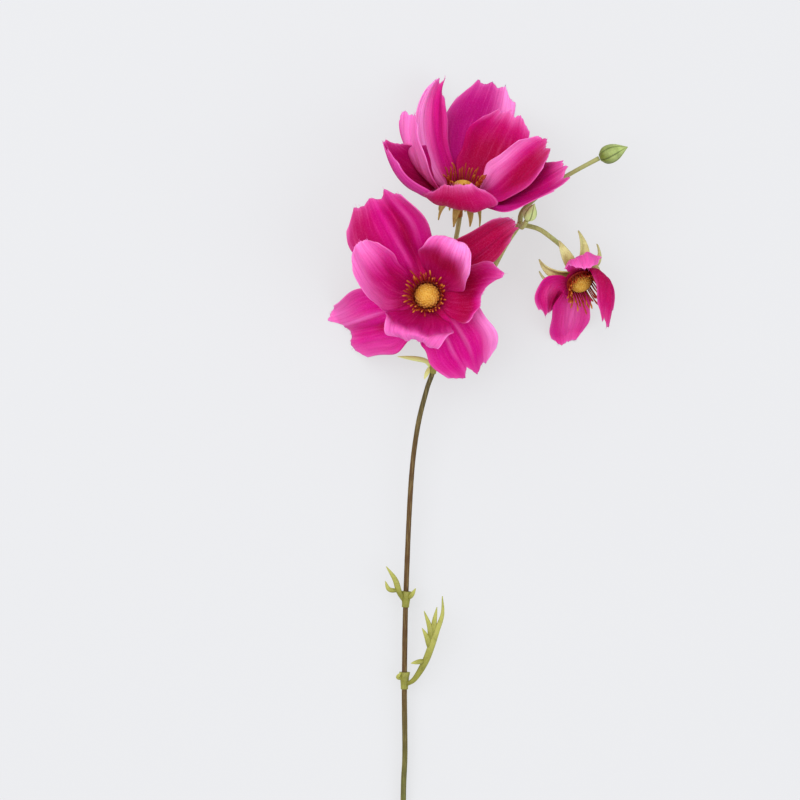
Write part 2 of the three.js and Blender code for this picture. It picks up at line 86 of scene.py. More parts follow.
# What a petal may say besides its knee, tip, width, cup and curl. A place on a petal is a pair: along,
# from 0 at the root to 1 at the tip, and across, from -1 at one edge to 1 at the other.
PLAIN_PETAL = {
    "rise": 13.0,  # how far from the axis the midrib starts to rise
    "roll": (0, 0),  # the turn about the midrib at the root and at the tip, in degrees
    "sides": (1, 1),  # the share of the width on each side of the midrib
    "taper": 0.81,  # larger for a more pointed tip
    "lip": 0,  # how far the tip rolls back
    "teeth": 1,  # how deep the teeth are
    "slant": (1, 0),  # which side of the tip is cut back, and by what share of the length
    "notch": (0, 0),  # the number of a deeper tooth, and its share of the length
    "creases": (),  # each crease's place across, lean, depth and width
    # The rim's paleness is a painted highlight along the petal's edges.
    "rim": 0.2,  # how pale the rim is
    # The pale spots are painted highlights.
    "blush": (),  # pale spots, each with its place along and across, length, width and strength
    # The deeper spots are painted shade.
    "depth": (),  # deeper spots, in the same way
    "violet": 0.0,  # how far the dye leans to violet
}

PLAIN_BLOOM = {
    "scale": 1.0,  # of the hub, the disc, the bristles and the calyx's cup
    "tube": 3.2,  # how long the calyx's tube is
    "sepal_length": 12,
    "sepal_width": 3.2,
    "sepal_reach": 8.5,  # how far from the axis a sepal bends back
    "sepal_fall": 0.8,  # the share of its length by which it falls back
    "age": 1.0,  # 1 for a browned calyx, and 0 for a young green one
}


def petal(**own):
    """A petal's whole description. Its cup is its bend at the root, and its curl the one at the tip, which
    is the same unless given. Each is an angle in radians for each side of the midrib."""
    return PLAIN_PETAL | {"curl": own["cup"]} | own


# The bristles' three numbers are the side on which they are longest, in degrees, by what share, and a
# stretch of all of them.
TOP_BLOOM = PLAIN_BLOOM | {
    "name": "top_bloom",
    "hub": (25.2, 83, 23),
    "axis": (0.12, 0.9, 0.42),
    "seed": 1,
    "bristles": (90.0, 0.1, 1.1),
    "petals": [
        petal(
            knee=(6, 113, 10), tip=(17.4, 132.5, 8), width=21, cup=(0.4, 0.15), sides=(0.75, 0.8), taper=0.85,
            blush=[(0.75, 0.65, 0.5, 0.5, 1.0), (0.3, 0.4, 0.25, 0.35, 0.5)],
            depth=[(0.5, -0.7, 0.5, 0.3, 0.3)],
        ),
        petal(
            knee=(33, 110, -1), tip=(40, 131, -4), width=30, cup=(0.5, 0.5), curl=(0.3, 0.3),
            sides=(0.8, 1.05), taper=0.76, violet=0.5,
            blush=[(0.95, -0.7, 0.25, 0.4, 1.0)], depth=[(0.65, 0.3, 0.6, 0.8, 0.45)],
        ),
        petal(
            knee=(40, 103, 12), tip=(46, 117.6, 15), roll=(0, 24), width=28, cup=(0.7, 0.7), teeth=0.6, rim=0,
            blush=[(1.0, 0, 0.08, 1, 0.4)], depth=[(0.5, 0, 0.4, 1.4, 1.2)],
        ),
        petal(
            knee=(42, 90, 26), tip=(60, 104, 36), roll=(0, 54), width=25, cup=(0.5, 0.9), sides=(1, 0.82),
            teeth=0.6, blush=[(0.5, 0.85, 0.45, 0.3, 1.2), (0.45, 0.35, 0.25, 0.2, 0.45)],
            depth=[(0.8, -0.35, 0.45, 0.6, 1.2)],
        ),
        petal(
            knee=(49, 78, 30), tip=(68.8, 93, 40), roll=(0, 36), width=25, cup=(0.6, 0.6), sides=(1.25, 1),
            violet=0.2, blush=[(1, 0.2, 0.07, 0.6, 0.2)], depth=[(0.85, 0, 0.35, 1.5, 0.5)],
        ),
        petal(
            knee=(23, 68, 52), tip=(21.6, 86.4, 57), width=37, cup=(0.6, 0.6), sides=(0.92, 0.85), teeth=0.5,
            rim=0.15, blush=[(1.0, 0.6, 0.05, 0.5, 0.4)], depth=[(0.7, -0.2, 0.8, 1.5, 1.0)],
        ),
        petal(
            knee=(-2, 81, 36), tip=(-7.5, 104, 42), roll=(0, -20), width=30, cup=(1.1, 0.8), curl=(2.2, 0.8),
            sides=(1.4, 1.25), rim=0.1, violet=0.25,
            blush=[(0.8, 0.95, 0.4, 0.25, 0.1)], depth=[(0.5, -0.3, 0.5, 0.5, 1.0)],
        ),
        petal(
            knee=(-1.5, 97, 28), tip=(1.4, 117, 26), roll=(0, 30), width=27, cup=(0.5, 0.5),
            sides=(0.55, 1.2), teeth=0.5, blush=[(0.5, 0.6, 0.35, 0.6, 0.9), (0.95, 0, 0.2, 1, 0.5)],
        ),
    ],
}

FACE_BLOOM = PLAIN_BLOOM | {
    "name": "face_bloom",
    "hub": (11, 41.6, 30),
    "axis": (-0.06, 0.08, 1),
    "seed": 2,
    "bristles": (140.0, 0.45, 0.95),
    "petals": [
        petal(
            knee=(-4, 66, 42), tip=(-11.5, 83, 34), width=34, cup=(0.5, 0.2), curl=(1.4, 0.2), taper=0.74,
            creases=[(-0.3, 0.2, 3.5, 0.15), (-0.02, 0.2, -1.3, 0.12)], violet=0.12,
            blush=[(0.5, -0.04, 0.3, 0.06, 0.15), (0.75, -0.55, 0.25, 0.06, 0.25)],
            depth=[(0.6, -0.3, 0.35, 0.15, 1), (0.8, 0.65, 0.5, 0.5, 0.9), (0.9, -0.8, 0.3, 0.3, 0.5)],
        ),
        petal(
            knee=(19, 56, 57), tip=(21, 63, 57), rise=15, width=25, cup=(0.6, 0.6), lip=5, teeth=0.6,
            blush=[(0.95, -0.2, 0.22, 1.2, 1.0), (0.75, -0.8, 0.3, 0.3, 0.5)],
            depth=[(0.45, 0.1, 0.25, 1.2, 1.1)],
        ),
        petal(
            knee=(30, 61, 38), tip=(47, 71, 36), roll=(0, 52), width=22, cup=(0.5, 0.5), sides=(0.7, 1),
            taper=0.76, teeth=0.5, rim=0.1, depth=[(0.6, 0, 1, 3, 1.2)],
        ),
        petal(
            knee=(33, 42, 42), tip=(43.6, 46, 52), width=25, cup=(0.7, 0.1), slant=(-1, 0.33),
            blush=[(0.95, 0.5, 0.14, 0.6, 0.2)], depth=[(0.45, 0, 0.32, 2, 1.1)],
        ),
        petal(
            knee=(24, 26, 38), tip=(30.4, 9, 17), width=30, cup=(0.1, 0.5), notch=(3, 0.06),
            creases=[(0.12, 0.3, -0.9, 0.07), (-0.3, -0.2, -0.8, 0.07), (0.5, 0.3, 1, 0.12)],
            blush=[(0.75, 0.9, 0.4, 0.25, 0.9), (0.6, 0.14, 0.25, 0.05, 0.4), (0.6, -0.3, 0.25, 0.05, 0.4)],
            depth=[(0.35, 0.3, 0.25, 0.5, 0.35)],
        ),
        petal(
            knee=(6, 28, 56), tip=(6, 23.4, 43), rise=15, width=29, cup=(0.5, 0.5), teeth=0.3, violet=0.2,
            blush=[(0.85, 0, 0.22, 2, 0.5)], depth=[(0.35, 0, 0.2, 2, 0.5)],
        ),
        petal(
            knee=(-9, 30, 26), tip=(-28, 28.4, -10), width=29, cup=(0.3, 0.2), taper=0.76, teeth=0.35,
            slant=(1, 0.1), creases=[(0.15, 0, 1.3, 0.1), (-0.3, 0.2, -1, 0.15), (0.5, 0, -0.8, 0.12)],
            blush=[(0.95, -0.6, 0.2, 0.5, 0.5), (0.75, 0.75, 0.4, 0.3, 0.15), (0.7, -0.2, 0.3, 0.06, 0.4)],
            depth=[(0.6, 0.2, 0.12, 0.12, 0.9)],
        ),
        petal(
            knee=(-7.5, 50, 48), tip=(-14, 63, 55), rise=15, width=29, cup=(0.9, 0.4), sides=(0.5, 1),
            taper=0.76, lip=3, teeth=0.5, blush=[(0.95, 0.1, 0.2, 1, 0.6), (0.6, 0.8, 0.3, 0.3, 0.4)],
            depth=[(0.4, -0.2, 0.25, 0.7, 0.7)],
        ),
    ],
}

SMALL_BLOOM = PLAIN_BLOOM | {
    "name": "small_bloom",
    "hub": (72.2, 48.8, 22),
    "axis": (0.32, -0.7, 0.64),
    "seed": 3,
    "scale": 0.92,
    "tube": 6,
    "sepal_length": 15,
    "sepal_width": 4.6,
    "sepal_reach": 13.5,
    "sepal_fall": 0.82,
    "age": 0.0,
    "bristles": (-80.0, 0.3, 1.15),
    "petals": [
        petal(
            knee=(60.5, 47, 22), tip=(60, 34, 15), rise=9, roll=(0, 25), width=17, cup=(0.4, 0.4),
            blush=[(0.6, -0.2, 0.25, 0.3, 0.15)], depth=[(0.7, 0.3, 0.5, 1, 0.8)],
        ),
        petal(
            knee=(68, 36, 12), tip=(68, 22.4, -6), rise=9, width=18, cup=(0.4, 0.4), teeth=0.5,
            blush=[(0.65, 0.2, 0.4, 0.6, 0.35)], depth=[(0.4, 0, 0.5, 1.5, 0.35)],
        ),
        petal(
            knee=(72, 64, 40), tip=(73.6, 52, 46), rise=9, width=16.5, cup=(0.8, 0.8), teeth=0.15,
            blush=[(0.8, 0, 0.5, 2, 0.35)],
        ),
        petal(
            knee=(88, 53, 33), tip=(83, 27.6, 22), rise=9, width=14, cup=(0.9, 0.9), taper=0.88,
            depth=[(0.5, 0.2, 0.6, 1.5, 0.95)],
        ),
    ],
}

BLOOMS = [TOP_BLOOM, FACE_BLOOM, SMALL_BLOOM]
for plan in BLOOMS:
    for number, each in enumerate(plan["petals"]):
        each["seed"] = 10 * plan["seed"] - 9 + number

BUDS = {
    "long_bud": dict(base=(80.6, 97.6, 24), tip=(91.6, 101.8, 26), width=7.6, pale=0.0),
    # The round bud is paler: painted light that lifts the shade cast on it by the blossoms.
    "round_bud": dict(base=(51.2, 72.6, 22), tip=(54.2, 79, 25), width=5.8, pale=1.0),
}

# Each leaflet is its width and the points that it grows along.
LEAVES = {
    "fork_leaf": {
        # The leaflets are paler: painted light that lifts the shade cast on them by the blossoms.
        "pale": 0.8,
        "sleeve": [(13.1, 10.8, 10.8), (14.2, 16.4, 11.2)],
        "leaflets": [
            (2.1, [(12.3, 13.4, 11.4), (11, 15.4, 12.8), (9, 16.3, 13.8), (4.6, 17, 14.8), (-1, 17.6, 15.6)]),
            (1.9, [(12.4, 13.6, 11.2), (11.2, 11.4, 11.8), (9.8, 8.4, 12.2)]),
        ],
    },
    "upper_leaf": {
        "pale": 0.0,
        "sleeve": [(2.2, -84.5, 5.8), (2.7, -78, 6.1)],
        "leaflets": [
            (2.4, [(1.6, -82, 6.4), (-0.4, -78, 8.4), (-2, -73, 10.4), (-5.6, -67.6, 12)]),
            (1.9, [(-0.6, -77.6, 8.6), (-4.4, -77, 10), (-6, -73.6, 11)]),
            (1.9, [(2.8, -81, 6.4), (4.6, -79.6, 8.4), (6.4, -76.6, 10)]),
        ],
    },
    "lower_leaf": {
        "pale": 0.0,
        "sleeve": [(1.8, -118, 4.5), (1.9, -111, 4.8)],
        "leaflets": [
            (
                2.9,
                [(2.6, -116, 5.4), (6, -113.6, 7), (10, -107, 9), (12.4, -101, 10.6), (14.8, -94, 12),
                 (17.2, -87, 13), (17.2, -79.6, 13.4)],
            ),
            (2.2, [(13.4, -98, 11.2), (13.8, -91, 12.6), (15, -84, 13.6)]),
            (2.2, [(12, -101.4, 10.4), (11, -96.6, 12), (9, -92.6, 13)]),
            (2.2, [(12, -100, 10.6), (12.2, -93, 12.4), (9.8, -85.6, 13.8)]),
            (2.0, [(10.2, -106, 9.2), (7.8, -106.4, 10.4), (4.4, -107, 11)]),
            (1.7, [(1.2, -113.6, 5), (-0.8, -113, 6.2), (0.4, -111, 7.4)]),
        ],
    },
}


# ------------------------------------------------------------------ small helpers
def unit(a):
    """a over its own length."""
    return a / np.maximum(np.linalg.norm(a, axis=-1, keepdims=True), 1e-12)


def smooth(low, high, x):
    """Zero below low, one above high, and 3t^2 - 2t^3 between them."""
    t = np.clip((np.asarray(x, float) - low) / (high - low), 0, 1)
    return t * t * (3 - 2 * t)


def mix(a, b, t):
    """a where t is 0, b where it is 1, and a + (b - a) t between them."""
    return a + (b - a) * t


def hump(x, wide):
    """One at x = 0, and falling to both sides: e to the power of -(x / wide)^2."""
    return np.exp(-((x / wide) ** 2))


def wave(turns):
    """The sine of a number of whole turns."""
    return np.sin(2 * math.pi * turns)


def draw(seed, k):
    """A repeatable number from 0 to 1: the fraction of 43758.5453 sin(12.9898 seed + 78.233 k)."""
    x = np.sin(seed * 12.9898 + np.asarray(k, float) * 78.233) * 43758.5453
    return x - np.floor(x)


def turned(a, axis, angle):
    """a, which is square to the unit axis, turned by angle: a cos + (axis x a) sin."""
    return a * np.cos(angle)[..., None] + np.cross(axis, a) * np.sin(angle)[..., None]


def around(sides):
    """Evenly spaced angles over one turn, 2 pi k / sides."""
    return np.linspace(0, 2 * math.pi, sides, endpoint=False)


def grid(down, over):
    """Two grids of one size: in the first each row holds one value of down, and in the second each
    column holds one value of over."""
    return np.meshgrid(down, over, indexing="ij")


def bezier(a, b, c, d, t):
    """A cubic Bezier curve at t: its points, and the unit vectors along it. With s = 1 - t the point is
    s^3 a + 3 s^2 t b + 3 s t^2 c + t^3 d."""
    t = t[..., None]
    s = 1 - t
    points = s**3 * a + 3 * s**2 * t * b + 3 * s * t**2 * c + t**3 * d
    return points, unit(s**2 * (b - a) + 2 * s * t * (c - b) + t**2 * (d - c))


# ------------------------------------------------------------------ shapes, before they are meshes
class Shape:
    """Points in mm, quads and caps, a cloth map in mm and named values, one of each per point."""

    def __init__(self, points, faces, caps=(), cloth=None, **values):
        """A value may be one number for all points."""
        self.points = np.asarray(points, float).reshape(-1, 3)
        self.faces = np.asarray(faces, int).reshape(-1, 4)
        self.caps = [list(map(int, cap)) for cap in caps]
        count = len(self.points)
        self.cloth = np.zeros((count, 2)) if cloth is None else np.asarray(cloth, float).reshape(-1, 2)
        self.values = {}
        for key, value in values.items():
            value = np.asarray(value, float)
            self.values[key] = value.reshape(-1) if value.size == count else np.full(count, float(value))


def together(shapes):
    """Several shapes as one: points in a row, and each face's numbers moved on by what came before."""
    first = np.cumsum([0] + [len(s.points) for s in shapes])
    whole = Shape(
        np.concatenate([s.points for s in shapes]),
        np.concatenate([s.faces + n for s, n in zip(shapes, first)]),
        [[i + n for i in cap] for s, n in zip(shapes, first) for cap in s.caps],
        np.concatenate([s.cloth for s in shapes]),
    )
    for key in sorted({k for s in shapes for k in s.values}):
        whole.values[key] = np.concatenate([s.values.get(key, np.zeros(len(s.points))) for s in shapes])
    return whole


def grid_quads(rows, columns, around_rows=False, around_columns=False):
    """Quads between the points of a grid, counted row by row: each point, the one below it, the one
    beyond that and the one beside it. A grid may join its last column, or its last row, to its first."""
    i = np.arange(rows if around_columns else rows - 1)[:, None]
    j = np.arange(columns if around_rows else columns - 1)[None, :]
    below, beside = (i + 1) % rows, (j + 1) % columns
    corners = [i * columns + j, below * columns + j, below * columns + beside, i * columns + beside]
    return np.stack(corners, -1).reshape(-1, 4)


def tube_faces(rows, sides):
    """The outward quads of a tube, which is a grid of rings, and a cap for its first and last ring."""
    ring = np.arange(sides)
    return grid_quads(rows, sides, around_rows=True)[:, ::-1], [ring[::-1], ring + (rows - 1) * sides]


def sheet_solid(middle, thickness, cloth=None, **values):
    """A thin closed solid about a grid of points: two faces half the thickness along the normal
    dP/du x dP/dv to each side, and a rim between their edges. Nothing of it is below the surface that
    it lies on."""
    rows, columns = middle.shape[:2]
    normal = unit(np.cross(np.gradient(middle, axis=0), np.gradient(middle, axis=1)))
    inner = middle + normal * thickness / 2
    outer = middle - normal * thickness / 2
    inner[..., 2] = np.maximum(inner[..., 2], thickness)
    outer[..., 2] = np.maximum(outer[..., 2], 0)
    front = grid_quads(rows, columns)
    under = rows * columns
    ids = np.arange(under).reshape(rows, columns)
    loop = np.concatenate([ids[:, 0], ids[-1, 1:], ids[-2::-1, -1], ids[0, -2:0:-1]])
    after = np.roll(loop, -1)
    rim = np.stack([loop, loop + under, after + under, after], -1)
    doubled = {k: np.tile(np.broadcast_to(v, (rows, columns)).reshape(-1), 2) for k, v in values.items()}
    return Shape(
        np.concatenate([inner.reshape(-1, 3), outer.reshape(-1, 3)]),
        np.concatenate([front, front[:, ::-1] + under, rim]),
        cloth=None if cloth is None else np.tile(cloth.reshape(-1, 2), (2, 1)),
        inside=np.repeat([1.0, 0.0], under),
        **doubled,
    )


def spline(points, count):
    """count points, evenly spaced, on a Catmull-Rom curve through the given points, and its length.
    Between each pair it is the cubic whose end slopes are half the step between the neighbours."""
    p = np.asarray(points, float)
    p = np.concatenate([2 * p[:1] - p[1:2], p, 2 * p[-1:] - p[-2:-1]])
    t = np.linspace(0, 1, SPLINE_STEPS, endpoint=False)[None, :, None]
    a, b, c, d = (p[i : len(p) - 3 + i, None] for i in range(4))
    dense = 0.5 * (2 * b + (c - a) * t + (2 * a - 5 * b + 4 * c - d) * t**2 + (3 * b - a - 3 * c + d) * t**3)
    dense = np.concatenate([dense.reshape(-1, 3), p[-2:-1]])
    length = np.concatenate([[0], np.cumsum(np.linalg.norm(np.diff(dense, axis=0), axis=1))])
    at = np.linspace(0, length[-1], count)
    return np.stack([np.interp(at, length, dense[:, k]) for k in range(3)], -1), length[-1]


def rod(points, radius, sides, count, flat=1.0, face=(0, 0, 1), **values):
    """A rod along a spline: a ring at each point, radius(t) wide and flat times as thick along the
    part of face that is square to the curve, with a cap on each end."""
    centre = spline(points, count)[0]
    tangent = unit(np.gradient(centre, axis=0))
    across = np.cross(np.asarray(face, float), tangent)
    fallback = np.cross(np.array([0, 1.0, 0]), tangent)
    across = unit(np.where(np.linalg.norm(across, axis=1, keepdims=True) > 0.05, across, fallback))
    up = np.cross(tangent, across)
    t = np.linspace(0, 1, count)
    r = np.broadcast_to(radius(t), (count,))[:, None, None]
    angle = around(sides)[None, :, None]
    ring = centre[:, None] + r * (np.cos(angle) * across[:, None] + flat * np.sin(angle) * up[:, None])
    return Shape(ring, *tube_faces(count, sides), along=np.repeat(t, sides), **values)


class Axis:
    """A place and a way out of it. right and back lie across, and angles run from right to back."""

    def __init__(self, hub, out, right=(1.0, 0, 0)):
        """right is the given direction less its part along the axis, and back is out x right."""
        self.hub = np.array(hub, float)
        self.out = unit(np.array(out, float))
        self.right = unit(np.array(right, float) - self.out * (self.out @ np.array(right, float)))
        self.back = np.cross(self.out, self.right)

    def radial(self, angle):
        """The unit vector at an angle: right cos + back sin."""
        angle = np.asarray(angle, float)[..., None]
        return np.cos(angle) * self.right + np.sin(angle) * self.back

    def at(self, reach, angle, height):
        """The point at a reach from the axis, an angle round it and a height along it."""
        reach, height = np.asarray(reach, float)[..., None], np.asarray(height, float)[..., None]
        return self.hub + reach * self.radial(angle) + height * self.out

    def turned_profile(self, profile, sides, **values):
        """A profile of (radius, height) pairs carried round the axis, closed on it at both ends."""
        rows = len(profile)
        reach, angle = grid([radius for radius, height in profile], around(sides))
        height = grid([height for radius, height in profile], around(sides))[0]
        values = {"along": np.repeat(np.linspace(0, 1, rows), sides)} | values
        return Shape(self.at(reach, angle, height), *tube_faces(rows, sides), **values)


class Bloom(Axis):
    """A blossom's own frame, with its hub at the middle of the petals' roots, and its plan."""

    def __init__(self, plan):
        """The frame that the plan's hub and axis give."""
        super().__init__(plan["hub"], plan["axis"])
        self.plan = plan
        self.scale = plan["scale"]
        self.seed = plan["seed"]


# ------------------------------------------------------------------ petals
def tip_cut(petal, v):
    """How far the tip is cut back at v, as a share of the length: straight lines between the teeth,
    which follow 0.1 v^4, with a much finer fray on top."""
    k = np.arange(len(TOOTH_AT))
    tooth = np.where(k % 2, 0.03 + 0.05 * draw(petal["seed"], k), 0.025 * draw(petal["seed"], k))
    side, amount = petal["slant"]
    cut = petal["teeth"] * tooth + 0.1 * TOOTH_AT**4 + amount * smooth(-0.45, -0.1, side * TOOTH_AT)
    number, share = petal["notch"]
    cut[number] += share
    knots = np.linspace(-1, 1, FRAY_KNOTS)
    fray = FRAY_DEPTH * draw(petal["seed"] + 0.5, np.arange(FRAY_KNOTS))
    return np.interp(v, TOOTH_AT, cut) + np.interp(v, knots, fray)


def petal_points(bloom, petal, u, v):
    """The petal's middle surface at u from root to tip and v from edge to edge.

    A cubic Bezier midrib runs from the hub, by the knee, to the tip. Across it lies an arc whose bend
    changes from root to tip and from side to side, turned about the midrib by the roll. Added to it
    are an edge ruffle that grows with v^2, a lip that rolls the tip back, veins that are a cosine
    across, a low billow of two sine waves, and pressed creases, each a Gaussian valley along the petal.
    """
    seed, left = petal["seed"], v < 0
    knee, tip = np.array(petal["knee"], float), np.array(petal["tip"], float)
    reach = knee - bloom.hub
    angle = math.atan2(reach @ bloom.back, reach @ bloom.right)
    root, rise = bloom.at(PETAL_ROOT_REACH, angle, 0.0), bloom.at(petal["rise"], angle, 0.0)
    along = u * (1 - tip_cut(petal, v) * smooth(0.3, 1, u))
    centre, tangent = bezier(root, rise, knee, tip, along)
    beside = bloom.radial(angle + math.pi / 2)
    flat = unit(beside - (tangent @ beside)[..., None] * tangent)
    across = turned(flat, tangent, np.radians(mix(*petal["roll"], along)))
    inward = np.cross(tangent, across)

    phase = np.where(left, draw(seed, 33), draw(seed, 34))
    waver = 0.06 * wave(2.3 * along + phase) * smooth(0.2, 0.5, along)
    half = (1 + waver) * np.where(left, *petal["sides"]) * petal["width"] / 2
    half = half * np.sin(math.pi * (0.05 + petal["taper"] * along)) ** 0.75
    bends = [mix(cup, curl, along) for cup, curl in zip(petal["cup"], petal["curl"])]
    bend = np.where(left, *bends) * smooth(0, 0.3, along) + 1e-6
    arc = half * (1 - np.cos(np.abs(v) * bend)) / bend
    width = np.sign(v) * half * np.sin(np.abs(v) * bend) / bend

    phase = np.where(left, draw(seed, 20), draw(seed, 21))
    ruffle = RUFFLE * half * v**2 * smooth(0.2, 1, along) * wave(1.6 * along + phase)
    lip = petal["lip"] * smooth(0.6, 1, along) ** 2
    veins = VEIN_HEIGHT * wave(3.5 * v + 0.6 * draw(seed, 30) + 0.25) * smooth(0.1, 0.4, along)
    billow = 0.5 * wave(0.9 * v + 0.7 * along + draw(seed, 31))
    billow = billow + 0.3 * wave(1.9 * v - 0.8 * along + draw(seed, 32))
    billow = billow * smooth(0.2, 0.6, along) * (1 - v**4)
    crease = np.zeros_like(along)
    for at, lean, depth, wide in petal["creases"]:
        crease += depth * hump(v - at - lean * (along - 0.5), wide)
    crease *= smooth(0.1, 0.35, along) * (1 - smooth(0.8, 1, along))
    lift = arc + ruffle - lip + veins + billow - crease
    return centre + across * width[..., None] + inward * lift[..., None]


def cloth_map(points):
    """The length along the cloth, row by row and column by column, from the middle of the root, in mm."""
    rows, columns = points.shape[:2]
    down = np.cumsum(np.linalg.norm(np.diff(points, axis=0, prepend=points[:1]), axis=2), axis=0)
    over = np.cumsum(np.linalg.norm(np.diff(points, axis=1, prepend=points[:, :1]), axis=2), axis=1)
    over = over - over[:, columns // 2, None]
    return np.stack([over, down[:, columns // 2, None] * np.ones(columns)], -1)


def painted_light_spots(spots, along, across):
    """How strongly soft painted spots, of highlight and of shade alike, cover a place. Each is (along,
    across, length, width, strength), an elliptic Gaussian, and they add up to at most one."""
    total = np.zeros(np.broadcast(along, across).shape)
    for at, over, long, wide, strength in spots:
        total += strength * hump(along - at, long) * hump(across - over, wide)
    return np.clip(total, 0, 1)


def petal_painted_light_and_violet(petal, along, across):
    """The petal's painted highlight, painted shade and violet. The highlight is a soft pale rim that grows as
    v^6, a thin one that grows as v^30 and at the very tip, and its own spots; the shade is its own deeper
    spots. Violet is even, apart from the root."""
    # The pale rim and the paler tip are painted highlights.
    rim = petal["rim"] * (np.abs(across) ** 6 + np.abs(across) ** 30) * smooth(0.3, 0.7, along)
    rim = rim + 0.15 * smooth(0.86, 1.0, along) + 0.25 * smooth(0.975, 1.0, along)
    return {
        "blush": np.clip(rim + painted_light_spots(petal["blush"], along, across), 0, 1),
        "depth": painted_light_spots(petal["depth"], along, across),
        "violet": petal["violet"] * smooth(0.1, 0.5, along),
    }


def petal_blade(bloom, petal):
    """One petal as a thin solid about its middle surface, with rows closer together near the tip."""
    rows, columns = PETAL_GRID
    u, v = grid(np.linspace(0, 1, rows) ** 0.9, np.linspace(-1, 1, columns))
    points = petal_points(bloom, petal, u, v)
    painted_light_and_violet = petal_painted_light_and_violet(petal, u, v)
    tint = draw(petal["seed"], 40)
    return sheet_solid(points, PETAL_THICKNESS, cloth_map(points), along=u, across=v, tint=tint, **painted_light_and_violet)


def frayed_threads(bloom, petal):
    """Loose threads at the tip: each starts on the tip's edge and runs on along the petal, bending
    sideways by the square of its length, as a three-sided prism that narrows to its end."""
    k = np.arange(THREAD_COUNT)
    seed = petal["seed"]
    v0 = 2 * draw(seed + 3, k) - 1
    one = np.ones(THREAD_COUNT)
    start = petal_points(bloom, petal, one, v0)
    ahead = unit(start - petal_points(bloom, petal, one * 0.97, v0))
    aside = unit(petal_points(bloom, petal, one, v0 + 0.03) - start)
    normal = unit(np.cross(ahead, aside))
    long = 0.5 + 1.6 * draw(seed + 5, k) ** 3
    swing = 1.2 * (draw(seed + 7, k) - 0.5)
    lift = 0.8 * (draw(seed + 9, k) - 0.5)
    rows, sides = 5, 3
    t = np.linspace(0, 1, rows)[None, :, None]
    line = start[:, None] + ahead[:, None] * (long[:, None, None] * t - 0.3)
    line = line + (aside * (swing * long)[:, None] + normal * (lift * long)[:, None])[:, None] * t**2
    corner = around(sides)[:, None]
    ring = np.cos(corner) * aside[:, None, None] + np.sin(corner) * normal[:, None, None]
    points = line[:, :, None] + ring * (THREAD_RADIUS * (1 - 0.6 * t[..., None]))
    points[..., 2] = np.maximum(points[..., 2], 0.02)
    quads, caps = tube_faces(rows, sides)
    first = k * rows * sides
    return Shape(
        points,
        quads + first[:, None, None],
        [cap + n for cap in caps for n in first],
        along=1.0,
        across=np.repeat(v0, rows * sides),
        inside=1.0,
        tint=0.9,
        blush=0.5,
    )


def corolla(bloom):
    """All petals of a blossom, their threads, and the round of cloth that they spring from."""
    r = HUB_RADIUS * bloom.scale
    profile = [(0.4, -0.7), (0.7 * r, -0.7), (r, -0.45), (r, 0.25), (0.7 * r, 0.6), (0.4, 0.6)]
    # The round of cloth has along 0, so it takes the maroon painted shade of the petals' roots.
    shapes = [bloom.turned_profile(profile, 32, along=0.0, inside=1.0, tint=0.2)]
    for petal in bloom.plan["petals"]:
        shapes += [petal_blade(bloom, petal), frayed_threads(bloom, petal)]
    return together(shapes)


# ------------------------------------------------------------------ disc and stamens
def floret_disc(bloom):
    """A dome of radius r cos(t) and height h sin(t), covered with round grains. The grains lie on a
    Fibonacci spiral, and each stands out by a half circle of its distance from the nearest centre."""
    rows, sides = 60, 150
    up, angle = grid(np.linspace(0, 1, rows), around(sides))
    n = np.arange(FLORET_COUNT) + 0.5

    def dome(t, angle):
        """The dome's point at a rise of t and an angle, both in radians."""
        wide = np.maximum(np.cos(t), 0.02) * DISC_RADIUS
        return np.stack([wide * np.cos(angle), wide * np.sin(angle), DISC_HEIGHT * np.sin(t)], -1)

    surface = dome(up * math.pi / 2, angle)
    centres = dome(np.arccos(np.sqrt(n / FLORET_COUNT)), n * math.pi * (3 - math.sqrt(5)))
    gap = np.linalg.norm(surface[:, :, None] - centres[None, None], axis=-1)
    nearest = gap.argmin(-1)
    grain = np.sqrt(np.maximum(0, 1 - (gap.min(-1) / (FLORET_RADIUS + 0.1 * draw(5, nearest))) ** 2))
    normal = unit(surface / np.array([DISC_RADIUS, DISC_RADIUS, DISC_HEIGHT]) ** 2)
    relief = FLORET_RELIEF * (grain - 0.6) * (up > 0.02)
    x, y, z = np.moveaxis((surface + normal * relief[..., None]) * bloom.scale, -1, 0)[..., None]
    points = bloom.hub + x * bloom.right + y * bloom.back + (z + HUB_HALF + GAP) * bloom.out
    return Shape(points, *tube_faces(rows, sides), along=up, grain=grain, tint=draw(9, nearest))


def bristle(bloom, n):
    """One bristle, which leans out and bends a little and ends in a swollen tip: its radius is 0.23 mm
    plus a Gaussian bulge near the end. It is longer by the cosine of its turn from the long side."""
    seed, k = bloom.seed, bloom.scale
    long_side, share, stretch = bloom.plan["bristles"]
    outer_row = n % 2
    turn = (n + 0.7 * draw(seed, n)) / STAMEN_COUNT * 2 * math.pi
    favour = 1 + share * math.cos(turn - math.radians(long_side))
    long = k * (5.2 + 2.4 * draw(seed + 1, n)) * (0.85 + 0.15 * outer_row) * stretch * favour
    lean = k * (0.6 + 1.9 * draw(seed + 2, n) + 0.5 * outer_row) * favour
    foot = k * (STAMEN_RING_INNER + 0.25 + 0.45 * outer_row)
    bend = 0.16 * (draw(seed + 3, n) - 0.5)
    base = HUB_HALF + GAP
    path = [
        bloom.at(foot, turn, base + 0.35),
        bloom.at(foot + 0.25 * lean, turn + 0.3 * bend, base + 0.5 * long),
        bloom.at(foot + 0.7 * lean, turn + bend, base + 0.85 * long),
        bloom.at(foot + lean * (1.0 + 0.3 * draw(seed + 4, n)), turn + 1.6 * bend, base + long),
    ]

    def radius(t):
        """Thin, with a swelling near the end, and narrower at the very end."""
        return 0.23 + 0.13 * hump(t - 0.88, 0.12) - 0.1 * smooth(0.96, 1, t)

    return rod(path, radius, sides=7, count=14, face=bloom.out + 0.01, tint=draw(seed + 6, n))


